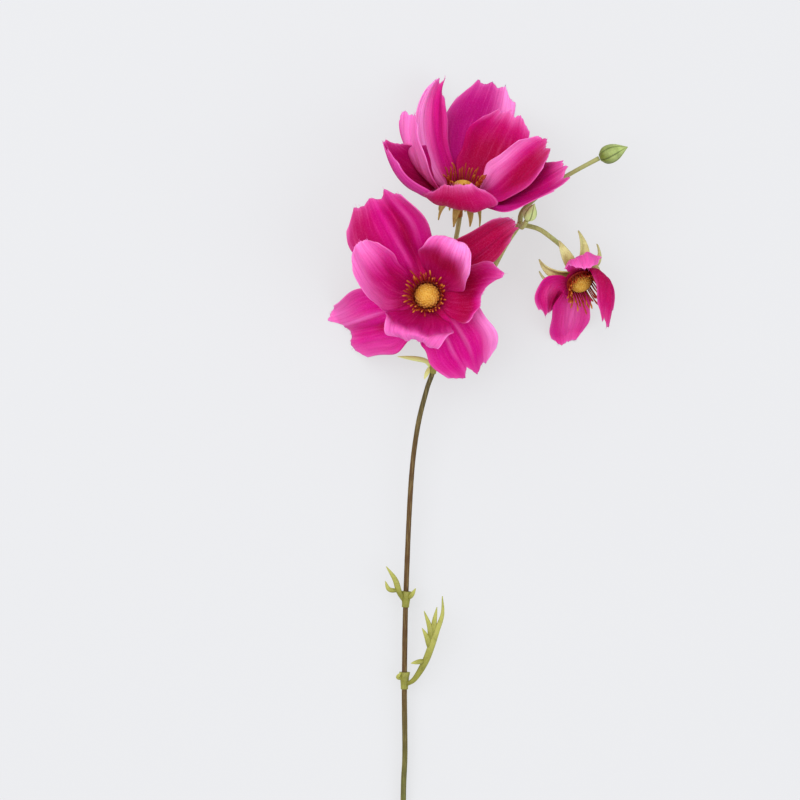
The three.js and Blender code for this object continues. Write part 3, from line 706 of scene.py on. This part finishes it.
def stamen_fence(bloom):
    """Two rounds of bristles on a thin ring, whose six-cornered section is carried round the axis."""
    inner, outer, height = STAMEN_RING_INNER, STAMEN_RING_OUTER, STAMEN_RING_HEIGHT
    profile = [(inner, 0), (outer, 0), (outer + 0.1, height * 0.6), (outer - 0.2, height)]
    profile += [(inner + 0.1, height), (inner, 0.3)]
    sides = 48
    reach, angle = grid([r * bloom.scale for r, z in profile], around(sides))
    up = grid([z + HUB_HALF + GAP for r, z in profile], around(sides))[0]
    faces = grid_quads(len(profile), sides, around_rows=True, around_columns=True)[:, ::-1]
    ring = Shape(bloom.at(reach, angle, up), faces, along=0.0)
    return together([ring] + [bristle(bloom, n) for n in range(STAMEN_COUNT)])


# ------------------------------------------------------------------ calyx
def sepal(bloom, n, top):
    """A pointed sepal. Its half width is sin(pi (0.22 + 0.76 u)), its midrib is a cubic Bezier that
    bends back, and its sides lift by v^2."""
    plan, seed, k = bloom.plan, bloom.seed, bloom.scale
    angle = (n + 0.35) / SEPAL_COUNT * 2 * math.pi + 0.3 * draw(n, seed)
    fall = plan["sepal_length"] * (0.85 + 0.3 * draw(n + 7, seed)) * plan["sepal_fall"]
    out = plan["sepal_reach"] * k
    u, v = grid(np.linspace(0, 1, 26), np.linspace(-1, 1, 9))
    centre, tangent = bezier(
        bloom.at(2.2 * k, angle, top - 2.2),
        bloom.at(out * 0.65, angle, top - 1.6),
        bloom.at(out, angle, top - 3),
        bloom.at(out + 0.5, angle, top - fall),
        u,
    )
    beside = bloom.radial(angle + math.pi / 2)
    inward = unit(np.cross(tangent, beside))
    half = plan["sepal_width"] / 2 * np.maximum(np.sin(math.pi * (0.22 + 0.76 * u)), 0.06) ** 0.9
    twist = 0.35 * (draw(n + 3, seed) - 0.5) * u**2 * half
    lift = half * (0.45 * v**2 - 0.12 * hump(v, 0.18)) + twist * v
    points = centre + beside * (v * half)[..., None] + inward * lift[..., None]
    return sheet_solid(points, SEPAL_THICKNESS, along=u, tint=draw(n + 11, seed), tube=0.0)


def calyx_crown(bloom):
    """A tube and cup turned round the axis, and a crown of sepals."""
    k, tube = bloom.scale, bloom.plan["tube"]
    top = -HUB_HALF - GAP
    foot = top - CALYX_LENGTH - tube
    profile = [(0.3, foot), (1.0, foot), (1.28, foot + 0.4), (1.22, foot + 0.45 * tube)]
    profile += [(1.05, foot + 0.8 * tube), (1.2, top - CALYX_LENGTH), (1.75, top - 4.6), (2.5 * k, top - 2.8)]
    profile += [(3.4 * k, top - 1.2), (3.55 * k, top - 0.4), (3.4 * k, top), (0.3, top)]
    cup = bloom.turned_profile(profile, 24, tint=0.6, tube=1.0)
    crown = together([cup] + [sepal(bloom, n, top) for n in range(SEPAL_COUNT)])
    crown.values["age"] = np.full(len(crown.points), bloom.plan["age"])
    return crown


# ------------------------------------------------------------------ buds
def closed_bud(plan):
    """A pointed egg turned round its own axis. Its radius is pinched by narrow grooves, one for each
    joint between two sepals, and the sepals overlap as a step beside each groove."""
    base, tip = np.array(plan["base"], float), np.array(plan["tip"], float)
    axis = Axis(base, tip - base, right=(0, 0, 1.0))
    rows, sides = 60, 72
    t, angle = grid(np.linspace(0, 1, rows), around(sides))
    knots = [0, 0.03, 0.1, 0.2, 0.34, 0.5, 0.66, 0.8, 0.91, 0.97, 1]
    widths = [0.3, 0.5, 0.76, 0.94, 1, 0.94, 0.74, 0.46, 0.22, 0.1, 0.03]
    share = np.interp(t[:, 0], knots, widths)
    share = np.convolve(np.pad(share, 3, "edge"), np.ones(7) / 7, "valid")[:, None]
    phase = (BUD_SEPALS * (angle + 0.35 * t) / (2 * math.pi)) % 1
    groove = hump(phase - 0.5, 0.07)
    step = 0.05 * smooth(0.5, 0.62, phase) * (1 - smooth(0.8, 1.0, phase))
    radius = plan["width"] / 2 * share * (0.97 - 0.1 * groove + step)
    points = axis.at(radius, angle, t * np.linalg.norm(tip - base))
    return Shape(points, *tube_faces(rows, sides), along=t, groove=groove, pale=plan["pale"])


# ------------------------------------------------------------------ stem
MAIN_STEM = [
    (0.8, -255, CUT_RADIUS), (1, -200, 1.8), (1.4, -160, 3), (2, -144, 3.6), (1.8, -116, 4.6), (2.4, -80, 6),
    (4.4, -35, 8), (7, -12, 9.2), (10.8, 4, 10.2), (13.2, 11, 10.8), (14.6, 18.4, 11.4),
]
FORK = MAIN_STEM[-1]
SIDE_FORK = (48.6, 71.4, 14)


def pedicel_end(plan):
    """Two points on the blossom's axis: the way that the pedicel arrives, and a gap short of the calyx."""
    bloom = Bloom(plan)
    foot = -HUB_HALF - GAP - CALYX_LENGTH - plan["tube"] - GAP
    return [bloom.at(0, 0, foot - 6), bloom.at(0, 0, foot)]


def stalk_end(plan):
    """A little more than the gap before the bud's base, along its axis."""
    base, tip = np.array(plan["base"], float), np.array(plan["tip"], float)
    return base - unit(tip - base) * (GAP + 0.1)


# Each strand's points, its radius at both ends, and how green it is there.
STRANDS = [
    (MAIN_STEM, (CUT_RADIUS, FORK_RADIUS), (0.0, 0.0)),
    (
        [FORK, (17, 30, 9.5), (19.4, 48, 10), *pedicel_end(TOP_BLOOM)],
        (FORK_RADIUS, PEDICEL_RADIUS),
        (0.35, 1.0),
    ),
    ([FORK, (13.4, 26, 10.5), *pedicel_end(FACE_BLOOM)], (FORK_RADIUS, PEDICEL_RADIUS), (0.35, 0.9)),
    ([FORK, (24, 30, 9), (35, 48, 9.4), (43, 63, 12), SIDE_FORK], (FORK_RADIUS, FORK_RADIUS), (0.7, 1.0)),
    (
        [SIDE_FORK, (56, 69.4, 15), (61, 66, 15.6), *pedicel_end(SMALL_BLOOM)],
        (FORK_RADIUS, PEDICEL_RADIUS),
        (0.9, 1.0),
    ),
    (
        [SIDE_FORK, (50, 77, 15), (60, 86, 19), (70, 92, 22), stalk_end(BUDS["long_bud"])],
        (FORK_RADIUS, STALK_RADIUS),
        (0.7, 0.65),
    ),
    ([SIDE_FORK, (49.4, 69.8, 18.5), stalk_end(BUDS["round_bud"])], (FORK_RADIUS, STALK_RADIUS), (0.9, 1.0)),
]


def strand(number, points, radii, greens):
    """One strand. Its radius runs straight from one end's value to the other's, with a faint unevenness
    of three sine waves and a low Gaussian swelling at each end but the cut one."""
    length = spline(points, 8)[1]
    swellings = [(length, 0.12, 3)] if number == 0 else [(0, 0.12, 3), (length, 0.1, 2.5)]

    def radius(t):
        """The straight run between the ends, times one plus the unevenness and the swellings."""
        s = t * length
        uneven = np.sin(s * 0.21 + number) + 0.6 * np.sin(s * 0.57 + 2 * number) + 0.4 * np.sin(s * 1.3)
        swell = sum(strength * hump(s - at, wide) for at, strength, wide in swellings)
        return mix(*radii, t) * (1 + 0.018 * uneven + swell)

    made = rod(points, radius, sides=16, count=int(length / 1.6) + 4)
    made.values["green"] = mix(*greens, made.values["along"])
    return made


def fork_knob(centre, wide, green):
    """The thicker joint at a fork: a rod about 3 mm long whose radius is wide times the root of a sine."""
    c = np.array(centre, float)
    way = np.array([0.3, 0.9, 0.15]) * 1.5

    def radius(t):
        """wide times the root of a sine."""
        return wide * np.sin(math.pi * (0.08 + 0.84 * t)) ** 0.5

    return rod([c - way, c, c + way], radius, sides=14, count=12, green=green, knot=1.0)


def whole_stem():
    """All strands and the two knobs at the forks, none of it below the surface that it lies on."""
    shapes = [strand(number, *each) for number, each in enumerate(STRANDS)]
    stem = together(shapes + [fork_knob(FORK, 1.25, 0.35), fork_knob(SIDE_FORK, 1.3, 0.9)])
    stem.points[:, 2] = np.maximum(stem.points[:, 2], 0.0)
    return stem


# ------------------------------------------------------------------ leaves
def leaf_sleeve(foot, top):
    """A tube round the stem that flares like a trumpet: its wall thickens along it, and its lip is
    wavy by the cosine of twice the angle."""
    foot, top = np.array(foot, float), np.array(top, float)
    axis = Axis(foot, top - foot, right=np.cross([0, 0, 1.0], top - foot))
    rows, sides = 22, 20
    t, angle = grid(np.linspace(0, 1, rows), around(sides))
    height = t * np.linalg.norm(top - foot)
    bore = CUT_RADIUS + 0.12
    reach = bore + 0.2 + 0.5 * smooth(0, 1, t) + 0.3 * smooth(0.7, 1, t) * np.cos(2 * angle + 0.6)
    points = np.concatenate([axis.at(reach, angle, height), axis.at(bore, angle, height[::-1])])
    faces = grid_quads(2 * rows, sides, around_rows=True, around_columns=True)[:, ::-1]
    return Shape(points, faces, along=np.concatenate([t, t[::-1]]) * 0.3)


def leaflet(width, points, pale):
    """A flat rod whose half width is sin(pi (0.18 + 0.78 t)) of the leaflet's."""

    def radius(t):
        """Half the width times a sine that is never less than 0.08."""
        return width / 2 * np.maximum(np.sin(math.pi * (0.18 + 0.78 * t)), 0.08)

    return rod(points, radius, sides=12, count=8 * len(points), flat=0.5, pale=pale)


def sleeved_leaf(plan):
    """A sleeve on the stem, and the leaflets that grow from it."""
    leaflets = [leaflet(width, points, plan["pale"]) for width, points in plan["leaflets"]]
    return together([leaf_sleeve(*plan["sleeve"])] + leaflets)


# ------------------------------------------------------------------ shader groups
def srgb(text):
    """A colour written as in a paint chart, as the linear values that shaders use: c / 12.92 up to
    0.04045, and ((c + 0.055) / 1.055)^2.4 above it."""
    c = np.array([int(text[k : k + 2], 16) for k in (1, 3, 5)]) / 255
    linear = np.where(c <= 0.04045, c / 12.92, ((c + 0.055) / 1.055) ** 2.4)
    return (*(float(x) for x in linear), 1.0)


class Wires:
    """Short ways to add and join the nodes of one tree. A value is a socket, a number, a vector or a
    colour written as in a paint chart."""

    def __init__(self, tree):
        """The tree of a material or of a group."""
        self.tree = tree

    def add(self, kind, **settings):
        """A new node with its settings."""
        node = self.tree.nodes.new(kind)
        for key, value in settings.items():
            setattr(node, key, value)
        return node

    def feed(self, socket, value):
        """Joins a socket to an input, or sets the input's own value. None leaves it as it is."""
        if isinstance(value, bpy.types.NodeSocket):
            self.tree.links.new(value, socket)
        elif value is not None:
            socket.default_value = srgb(value) if isinstance(value, str) else value

    def fill(self, node, **values):
        """Each value into the input of its name, where an underscore stands for a space."""
        for label, value in values.items():
            self.feed(node.inputs[label.replace("_", " ")], value)
        return node

    def maths(self, operation, *values):
        """One operation on up to three numbers."""
        node = self.add("ShaderNodeMath", operation=operation)
        for socket, value in zip(node.inputs, values):
            self.feed(socket, value)
        return node.outputs[0]

    def times(self, a, b):
        """a multiplied by b."""
        return self.maths("MULTIPLY", a, b)

    def span(self, value, low, high, to_low=0.0, to_high=1.0):
        """to_low where value is low, to_high where it is high, and 3t^2 - 2t^3 between them."""
        node = self.add("ShaderNodeMapRange", interpolation_type="SMOOTHSTEP")
        for socket, item in zip(node.inputs, (value, low, high, to_low, to_high)):
            self.feed(socket, item)
        return node.outputs[0]

    def blend(self, share, a, b):
        """Colour a + (b - a) share."""
        node = self.add("ShaderNodeMix", data_type="RGBA")
        return self.fill(node, Factor=share, A=a, B=b).outputs["Result"]

    def toward(self, a, b, value, low, high, share=1.0):
        """Colour a, which turns towards b, by share at most, as value goes from low to high."""
        return self.blend(self.span(value, low, high, 0.0, share), a, b)

    def noise(self, vector, scale, detail=2.0, rough=0.5):
        """Soft noise about one half."""
        node = self.add("ShaderNodeTexNoise")
        return self.fill(node, Vector=vector, Scale=scale, Detail=detail, Roughness=rough).outputs["Fac"]

    def vector(self, x, y, z):
        """Three numbers as one vector."""
        return self.fill(self.add("ShaderNodeCombineXYZ"), X=x, Y=y, Z=z).outputs[0]

    def bump(self, height, distance, strength, under=None):
        """A normal tilted by a height of so many metres, on top of another normal."""
        node = self.add("ShaderNodeBump")
        self.fill(node, Height=height, Distance=distance, Strength=strength, Normal=under)
        return node.outputs["Normal"]

    def rough(self, mottle, low, high):
        """A roughness from low to high, which follows the unevenness."""
        return self.span(mottle, 0.3, 0.7, low, high)

    def coordinates(self):
        """The piece's own coordinates."""
        return self.add("ShaderNodeTexCoord").outputs["Object"]

    def value(self, name):
        """A named value of the piece's points."""
        return self.add("ShaderNodeAttribute", attribute_name=name).outputs["Fac"]

    def place(self, made, **values):
        """A shader group with its inputs, as its outputs."""
        return self.fill(self.add("ShaderNodeGroup", node_tree=made), **values).outputs


def group(name, inputs, outputs):
    """A shader node group with named sockets: a vector for each input whose default is None, and a number
    for every other input and output. It comes with its Wires, what flows into it and what flows out."""
    made = bpy.data.node_groups.new(name, "ShaderNodeTree")
    for label, default in inputs.items():
        kind = "NodeSocketVector" if default is None else "NodeSocketFloat"
        socket = made.interface.new_socket(name=label, in_out="INPUT", socket_type=kind)
        if default is not None:
            socket.default_value = default
    for label in outputs:
        made.interface.new_socket(name=label, in_out="OUTPUT", socket_type="NodeSocketFloat")
    w = Wires(made)
    return made, w, w.add("NodeGroupInput").outputs, w.add("NodeGroupOutput")


def weave_group():
    """Plain weave: two sine waves across the cloth map, multiplied so that warp and weft take turns, and
    for the light a noise of uneven yarn."""
    made, w, given, out = group("plain weave", {"Cloth map": None, "Pitch": 0.0004}, ["Height", "Light"])
    parts = w.fill(w.add("ShaderNodeSeparateXYZ"), Vector=given["Cloth map"]).outputs
    turn = w.maths("DIVIDE", 2 * math.pi, given["Pitch"])
    warp = w.maths("SINE", w.times(parts[0], turn))
    weft = w.maths("SINE", w.times(parts[1], turn))
    cross = w.times(warp, weft)
    slub = w.noise(given["Cloth map"], 1600.0, 3.0, 0.7)
    height = w.maths("MULTIPLY_ADD", cross, 0.5, 0.5)
    w.fill(out, Height=height, Light=w.maths("MULTIPLY_ADD", cross, 0.12, slub))
    return made


def vein_group():
    """Pressed veins: a cosine across the petal, bent by noise, that fades towards the root and the tip.
    The groove between two veins is one less the ridge, to the power of six."""
    inputs = {"Across": 0.0, "Along": 0.0, "Count": 7.0, "Seed": 0.0}
    made, w, given, out = group("pressed veins", inputs, ["Height", "Groove"])
    across, along = given["Across"], given["Along"]
    drift = w.noise(w.vector(w.times(across, 1.6), w.times(along, 2.2), w.times(given["Seed"], 17.0)), 1.0)
    bent = w.maths("ADD", across, w.maths("MULTIPLY_ADD", drift, 0.22, -0.11))
    phase = w.times(w.times(bent, given["Count"]), 2 * math.pi)
    ridge = w.maths("MULTIPLY_ADD", w.maths("COSINE", phase), 0.5, 0.5)
    fade = w.times(w.span(along, 0.05, 0.3), w.span(along, 1.0, 0.8))
    groove = w.maths("POWER", w.maths("SUBTRACT", 1.0, ridge), 6.0)
    w.fill(out, Height=w.times(ridge, fade), Groove=w.times(groove, fade))
    return made


def sheen_streak_group():
    """Painted satin sheen: streaks of a noise drawn out along the petal, which run together towards the root.
    """
    inputs = {"Across": 0.0, "Along": 0.0, "Seed": 0.0, "Count": 20.0}
    made, w, given, out = group("satin streaks", inputs, ["Value"])
    across = w.times(given["Across"], given["Count"])
    place = w.vector(across, w.times(given["Along"], 2.4), w.times(given["Seed"], 31.0))
    w.fill(out, Value=w.noise(place, 1.0, 4.0, 0.65))
    return made


def mottle_group():
    """Uneven colour: a noise of the size given and a six times finer one, as a value about one half."""
    made, w, given, out = group("mottle", {"Vector": None, "Size": 100.0}, ["Value"])
    large = w.noise(given["Vector"], given["Size"], 3.0)
    fine = w.noise(given["Vector"], w.times(given["Size"], 6.0), 3.0)
    w.fill(out, Value=w.maths("MULTIPLY_ADD", fine, 0.35, w.times(large, 0.65)))
    return made


WEAVE, VEINS, SHEEN_STREAKS, MOTTLE = weave_group(), vein_group(), sheen_streak_group(), mottle_group()


# ------------------------------------------------------------------ materials
def material(name):
    """A new material, its Wires and its shader."""
    made = bpy.data.materials.new(name)
    made.use_nodes = True
    return made, Wires(made.node_tree), made.node_tree.nodes["Principled BSDF"]


def moulded(name, size):
    """A new material, its Wires and its shader, and an unevenness in the piece's own coordinates."""
    made, w, shader = material(name)
    return made, w, shader, w.place(MOTTLE, Vector=w.coordinates(), Size=size)["Value"]


def petal_cloth():
    """Magenta satin: crimson towards the root, partly its own colour and partly painted shade, and maroon
    painted shade at the root itself; painted highlights where it is marked pale and painted shade in deeper
    spots; painted sheen streaks, faint pressed veins and a fine weave. Seen edge on, the satin turns a little
    pinker, a painted sheen."""
    made, w, shader = material("petal satin")
    cloth = w.add("ShaderNodeUVMap", uv_map="cloth").outputs["UV"]
    along, across, tint = w.value("along"), w.value("across"), w.value("tint")
    veins = w.place(VEINS, Across=across, Along=along, Count=4.5, Seed=tint)
    weave = w.place(WEAVE, Cloth_map=cloth, Pitch=0.00042)
    mottle = w.place(MOTTLE, Vector=cloth, Size=120.0)["Value"]
    streak = w.place(SHEEN_STREAKS, Across=across, Along=along, Seed=tint, Count=15.0)["Value"]
    edge_on_sheen = w.fill(w.add("ShaderNodeLayerWeight"), Blend=0.35).outputs["Facing"]
    outside = w.maths("SUBTRACT", 1.0, w.value("inside"))
    # dark is the maroon of painted shade, deep the crimson of the root and of the painted shade spots, and
    # light the pink of painted highlights; dark also deepens the sheen streaks and the weave.
    dark, deep, light = "#80022C", "#A4003E", "#FF9CDC"
    # Towards the root the crimson is partly the petal's own and partly painted shade; the maroon at the root
    # itself is painted shade by the disc.
    colour = w.toward(deep, "#CE0488", along, 0.0, 0.45)
    colour = w.toward(colour, dark, along, 0.16, 0.0, 0.8)
    colour = w.blend(w.times(outside, 0.02), colour, light)
    colour = w.blend(w.times(veins["Groove"], 0.16), colour, deep)
    colour = w.toward(colour, "#DE1A98", mottle, 0.35, 0.7, 0.25)
    # A painted sheen: pinker where the satin is seen edge on.
    colour = w.toward(colour, "#EE3CB8", edge_on_sheen, 0.5, 1.0, 0.18)
    # The streaks are a painted sheen: dark ones here, light ones below.
    colour = w.toward(colour, dark, streak, 0.48, 0.3, 0.2)
    # Painted shade in the petal's deeper spots.
    colour = w.blend(w.times(w.value("depth"), 0.9), colour, deep)
    colour = w.blend(w.value("violet"), colour, "#A40E82")
    # Painted highlights where the petal is marked pale, broken up by the sheen streaks.
    colour = w.blend(w.times(w.value("blush"), w.span(streak, 0.3, 0.65, 0.65, 1.0)), colour, light)
    # Light streaks of the painted sheen.
    colour = w.toward(colour, "#FF78C4", streak, 0.5, 0.72, 0.13)
    colour = w.toward(colour, "#FFA6DC", weave["Light"], 0.45, 0.8, 0.1)
    colour = w.toward(colour, dark, weave["Light"], 0.5, 0.2, 0.12)
    fine = w.maths("MULTIPLY_ADD", streak, 2.0, weave["Height"])
    w.fill(
        shader,
        Base_Color=colour,
        Roughness=w.rough(mottle, 0.4, 0.52),
        Specular_IOR_Level=0.05,
        Sheen_Weight=0.03,
        Sheen_Roughness=0.3,
        Sheen_Tint="#FFA8E4",
        Subsurface_Weight=0.2,
        Subsurface_Radius=(1.0, 0.12, 0.3),
        Subsurface_Scale=0.0012,
        Normal=w.bump(fine, 0.00008, 0.5, under=w.bump(veins["Height"], 0.0002, 0.22)),
    )
    return made


def disc_pollen():
    """Golden grains: pale yellow on top of the dome, partly a painted highlight, and orange brown at its foot
    and in the gaps, partly painted shade.
    """
    made, w, shader, mottle = moulded("disc pollen", 900.0)
    along = w.value("along")
    # Orange brown at the foot, partly painted shade where the dome sits among the bristles, and paler on top,
    # partly a painted highlight.
    colour = w.toward("#9C2E08", "#C8962E", along, -0.05, 0.62)
    colour = w.toward(colour, "#E6BC50", along, 0.6, 1.0, 0.5)
    colour = w.toward(colour, "#C0841E", w.value("tint"), 0.2, 1.0, 0.3)
    # Darker in the gaps between grains: painted shade.
    colour = w.toward(colour, "#7A2408", w.value("grain"), 0.55, 0.05, 0.75)
    colour = w.toward(colour, "#F0D484", mottle, 0.4, 0.7, 0.35)
    normal = w.bump(mottle, 0.0002, 0.8)
    w.fill(shader, Base_Color=colour, Roughness=w.rough(mottle, 0.55, 0.85), Normal=normal)
    return made


def stamen_plastic():
    """Maroon bristles that turn red brown, then brown or golden at their tips."""
    made, w, shader, mottle = moulded("stamen plastic", 700.0)
    along, tint = w.value("along"), w.value("tint")
    gold = w.blend(tint, "#9C420E", "#D08A2C")
    colour = w.toward("#8A1406", "#A03210", along, 0.1, 0.75)
    golden = w.times(w.span(along, 0.62, 1.0), w.span(tint, 0.25, 0.7, 0.25, 1.0))
    colour = w.blend(golden, colour, gold)
    colour = w.toward(colour, "#B0601A", mottle, 0.45, 0.7, 0.35)
    normal = w.bump(mottle, 0.0001, 0.6)
    w.fill(shader, Base_Color=colour, Roughness=w.rough(mottle, 0.4, 0.7), Normal=normal)
    return made


def green_plastic(name, base, tip, shade, seam, pale):
    """Moulded green: one colour at the root and another at the tip, uneven, with patches of a darker
    shade, dark seams in the grooves, and paler by its pale value, which is painted light that lifts the shade
    that the blossoms cast on the piece."""
    made, w, shader, mottle = moulded(name, 260.0)
    colour = w.toward(base, tip, w.value("along"), 0.0, 0.8)
    colour = w.toward(colour, tip, mottle, 0.45, 0.75, 0.5)
    colour = w.toward(colour, shade, mottle, 0.55, 0.3, 0.45)
    # Paler where marked: painted light that lifts the shade cast by the blossoms.
    colour = w.blend(w.value("pale"), colour, pale)
    colour = w.blend(w.times(w.value("groove"), 0.85), colour, seam)
    w.fill(
        shader,
        Base_Color=colour,
        Roughness=w.rough(mottle, 0.34, 0.55),
        Specular_IOR_Level=0.4,
        Subsurface_Weight=0.1,
        Subsurface_Radius=(0.6, 1.0, 0.2),
        Subsurface_Scale=0.001,
        Normal=w.bump(mottle, 0.00015, 0.6),
    )
    return made


def calyx_plastic():
    """Sepals from orange brown at the root to golden green on an aged flower, and pale green on a young
    one, with brown patches. The tube below them is orange brown."""
    made, w, shader, mottle = moulded("calyx plastic", 300.0)
    along = w.value("along")
    young = w.toward("#BFB66A", "#DAD79A", along, 0.1, 0.8)
    aged = w.toward("#C69C50", "#D6C876", along, 0.0, 0.6)
    colour = w.blend(w.value("age"), young, aged)
    colour = w.toward(colour, "#8C7A2E", w.value("tint"), 0.3, 1.0, 0.4)
    colour = w.blend(w.value("tube"), colour, "#B07A3A")
    colour = w.toward(colour, "#8A6226", mottle, 0.62, 0.3, 0.4)
    rough = w.rough(mottle, 0.36, 0.56)
    normal = w.bump(mottle, 0.00015, 0.6)
    w.fill(shader, Base_Color=colour, Roughness=rough, Specular_IOR_Level=0.35, Normal=normal)
    return made


def stem_plastic():
    """Olive green at the cut end, red brown in the middle, olive again at the fork, and light green on
    the young branches, with fine streaks along the stem."""
    made, w, shader, mottle = moulded("stem plastic", 220.0)
    place = w.coordinates()
    y = w.fill(w.add("ShaderNodeSeparateXYZ"), Vector=place).outputs[1]
    squeeze = w.fill(w.add("ShaderNodeMapping"), Vector=place, Scale=(1.0, 0.06, 1.0)).outputs[0]
    streak = w.noise(squeeze, 2200.0)
    colour = w.toward("#666830", "#5C4222", y, -0.11, -0.045)
    colour = w.toward(colour, "#564E28", y, 0.03, 0.07)
    colour = w.blend(w.value("green"), colour, "#BDC080")
    colour = w.blend(w.times(w.value("knot"), 0.8), colour, "#A88A44")
    colour = w.toward(colour, "#A0905C", streak, 0.45, 0.7, 0.4)
    colour = w.toward(colour, "#4E4020", mottle, 0.5, 0.3, 0.4)
    rough = w.rough(mottle, 0.32, 0.55)
    normal = w.bump(w.maths("ADD", streak, mottle), 0.00012, 0.6)
    w.fill(shader, Base_Color=colour, Roughness=rough, Specular_IOR_Level=0.3, Normal=normal)
    return made


PETAL = petal_cloth()
DISC = disc_pollen()
STAMEN = stamen_plastic()
CALYX = calyx_plastic()
STEM = stem_plastic()
# Each pale colour is painted light for the pieces that sit in the blossoms' shade.
LEAF = green_plastic(
    "leaf plastic", base="#868438", tip="#AEAC5C", shade="#6C6A2C", seam="#6C6A2C", pale="#E2E69A"
)
BUD = green_plastic(
    "bud plastic", base="#76823C", tip="#AEBC76", shade="#566426", seam="#46541A", pale="#D2E29A"
)


# ------------------------------------------------------------------ pieces
def piece(name, shape, finish, node):
    """The shape as a mesh object in metres, in the row's frame, standing for one node of the model."""
    mesh = bpy.data.meshes.new(name)
    points = (shape.points - FOOTPRINT_CENTRE) * METRES
    mesh.from_pydata(points.tolist(), [], shape.faces.tolist() + shape.caps)
    mesh.update()
    if shape.cloth.any():
        corner = np.zeros(len(mesh.loops), np.int32)
        mesh.loops.foreach_get("vertex_index", corner)
        cloth = mesh.uv_layers.new(name="cloth")
        cloth.data.foreach_set("uv", (shape.cloth * METRES)[corner].astype(np.float32).reshape(-1))
    for key, values in shape.values.items():
        layer = mesh.attributes.new(key, "FLOAT", "POINT")
        layer.data.foreach_set("value", values.astype(np.float32))
    mesh.polygons.foreach_set("use_smooth", np.ones(len(mesh.polygons), bool))
    mesh.materials.append(finish)
    made = bpy.data.objects.new(name, mesh)
    bpy.context.scene.collection.objects.link(made)
    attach(made, "root")
    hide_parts(node)


for plan in BLOOMS:
    bloom, name = Bloom(plan), plan["name"]
    piece(name + "_cloth_petals", corolla(bloom), PETAL, name + "_petals")
    piece(name + "_floret_disc", floret_disc(bloom), DISC, name + "_disc")
    piece(name + "_bristles", stamen_fence(bloom), STAMEN, name + "_stamens")
    piece(name + "_sepals", calyx_crown(bloom), CALYX, name + "_calyx")
for name, plan in BUDS.items():
    piece(name + "_moulded", closed_bud(plan), BUD, name)
for name, plan in LEAVES.items():
    piece(name + "_moulded", sleeved_leaf(plan), LEAF, name)
piece("forked_stem", whole_stem(), STEM, "stem")


# ------------------------------------------------------------------ surface, light and camera
SURFACE_SIZE = 8
SURFACE_HEIGHT = -0.0002
VIEW_MIDDLE = (-0.031, 0.062, 0.0)
CAMERA_REACH = 1.5
CAMERA_FIELD = 0.32
CAMERA_SENSOR = 36.0
BLOSSOM_HEIGHT = 0.035


def surface():
    """The plain pale surface that the spray lies on. Its own glow keeps it pale and its shadows faint."""
    bpy.ops.mesh.primitive_plane_add(size=SURFACE_SIZE, location=(0, 0, SURFACE_HEIGHT))
    plane = bpy.context.object
    plane.name = "pale_surface"
    made, w, shader, mottle = moulded("pale surface", 1.5)
    w.fill(
        shader,
        Base_Color=w.blend(mottle, "#76777B", "#797A7D"),
        Roughness=0.9,
        Specular_IOR_Level=0.1,
        Emission_Color=(1.0, 0.998, 0.995, 1.0),
        Emission_Strength=0.5,
    )
    plane.data.materials.append(made)


def area_light(name, place, size, power, colour):
    """A round lamp that faces the middle of the view. Sizes are in metres, and power is in watts."""
    data = bpy.data.lights.new(name, "AREA")
    data.shape = "DISK"
    data.size = size
    data.energy = power
    data.color = colour
    lamp = bpy.data.objects.new(name, data)
    bpy.context.scene.collection.objects.link(lamp)
    lamp.location = place
    lamp.rotation_euler = (Vector(VIEW_MIDDLE) - Vector(place)).to_track_quat("-Z", "Y").to_euler()


surface()
area_light("window", (-0.6, 0.55, 1.5), size=2.2, power=19.0, colour=(1.0, 0.99, 0.98))
area_light("fill", (1.1, -0.6, 1.3), size=1.6, power=8.0, colour=(0.95, 0.98, 1.0))

WORLD_COLOUR = (0.93, 0.95, 1.0, 1.0)
WORLD_STRENGTH = 0.62
world = bpy.data.worlds.new("studio")
world.use_nodes = True
world.node_tree.nodes["Background"].inputs["Color"].default_value = WORLD_COLOUR
world.node_tree.nodes["Background"].inputs["Strength"].default_value = WORLD_STRENGTH
bpy.context.scene.world = world
bpy.context.scene.view_settings.view_transform = "Standard"
bpy.context.scene.view_settings.look = "Medium High Contrast"

camera_data = bpy.data.cameras.new("overhead")
camera_data.sensor_width = CAMERA_SENSOR
camera_data.lens = CAMERA_SENSOR * CAMERA_REACH / CAMERA_FIELD
camera_data.clip_end = 20.0
camera = bpy.data.objects.new("overhead", camera_data)
bpy.context.scene.collection.objects.link(camera)
camera.location = (*(-FOOTPRINT_CENTRE[:2] * METRES), BLOSSOM_HEIGHT + CAMERA_REACH)
bpy.context.scene.camera = camera
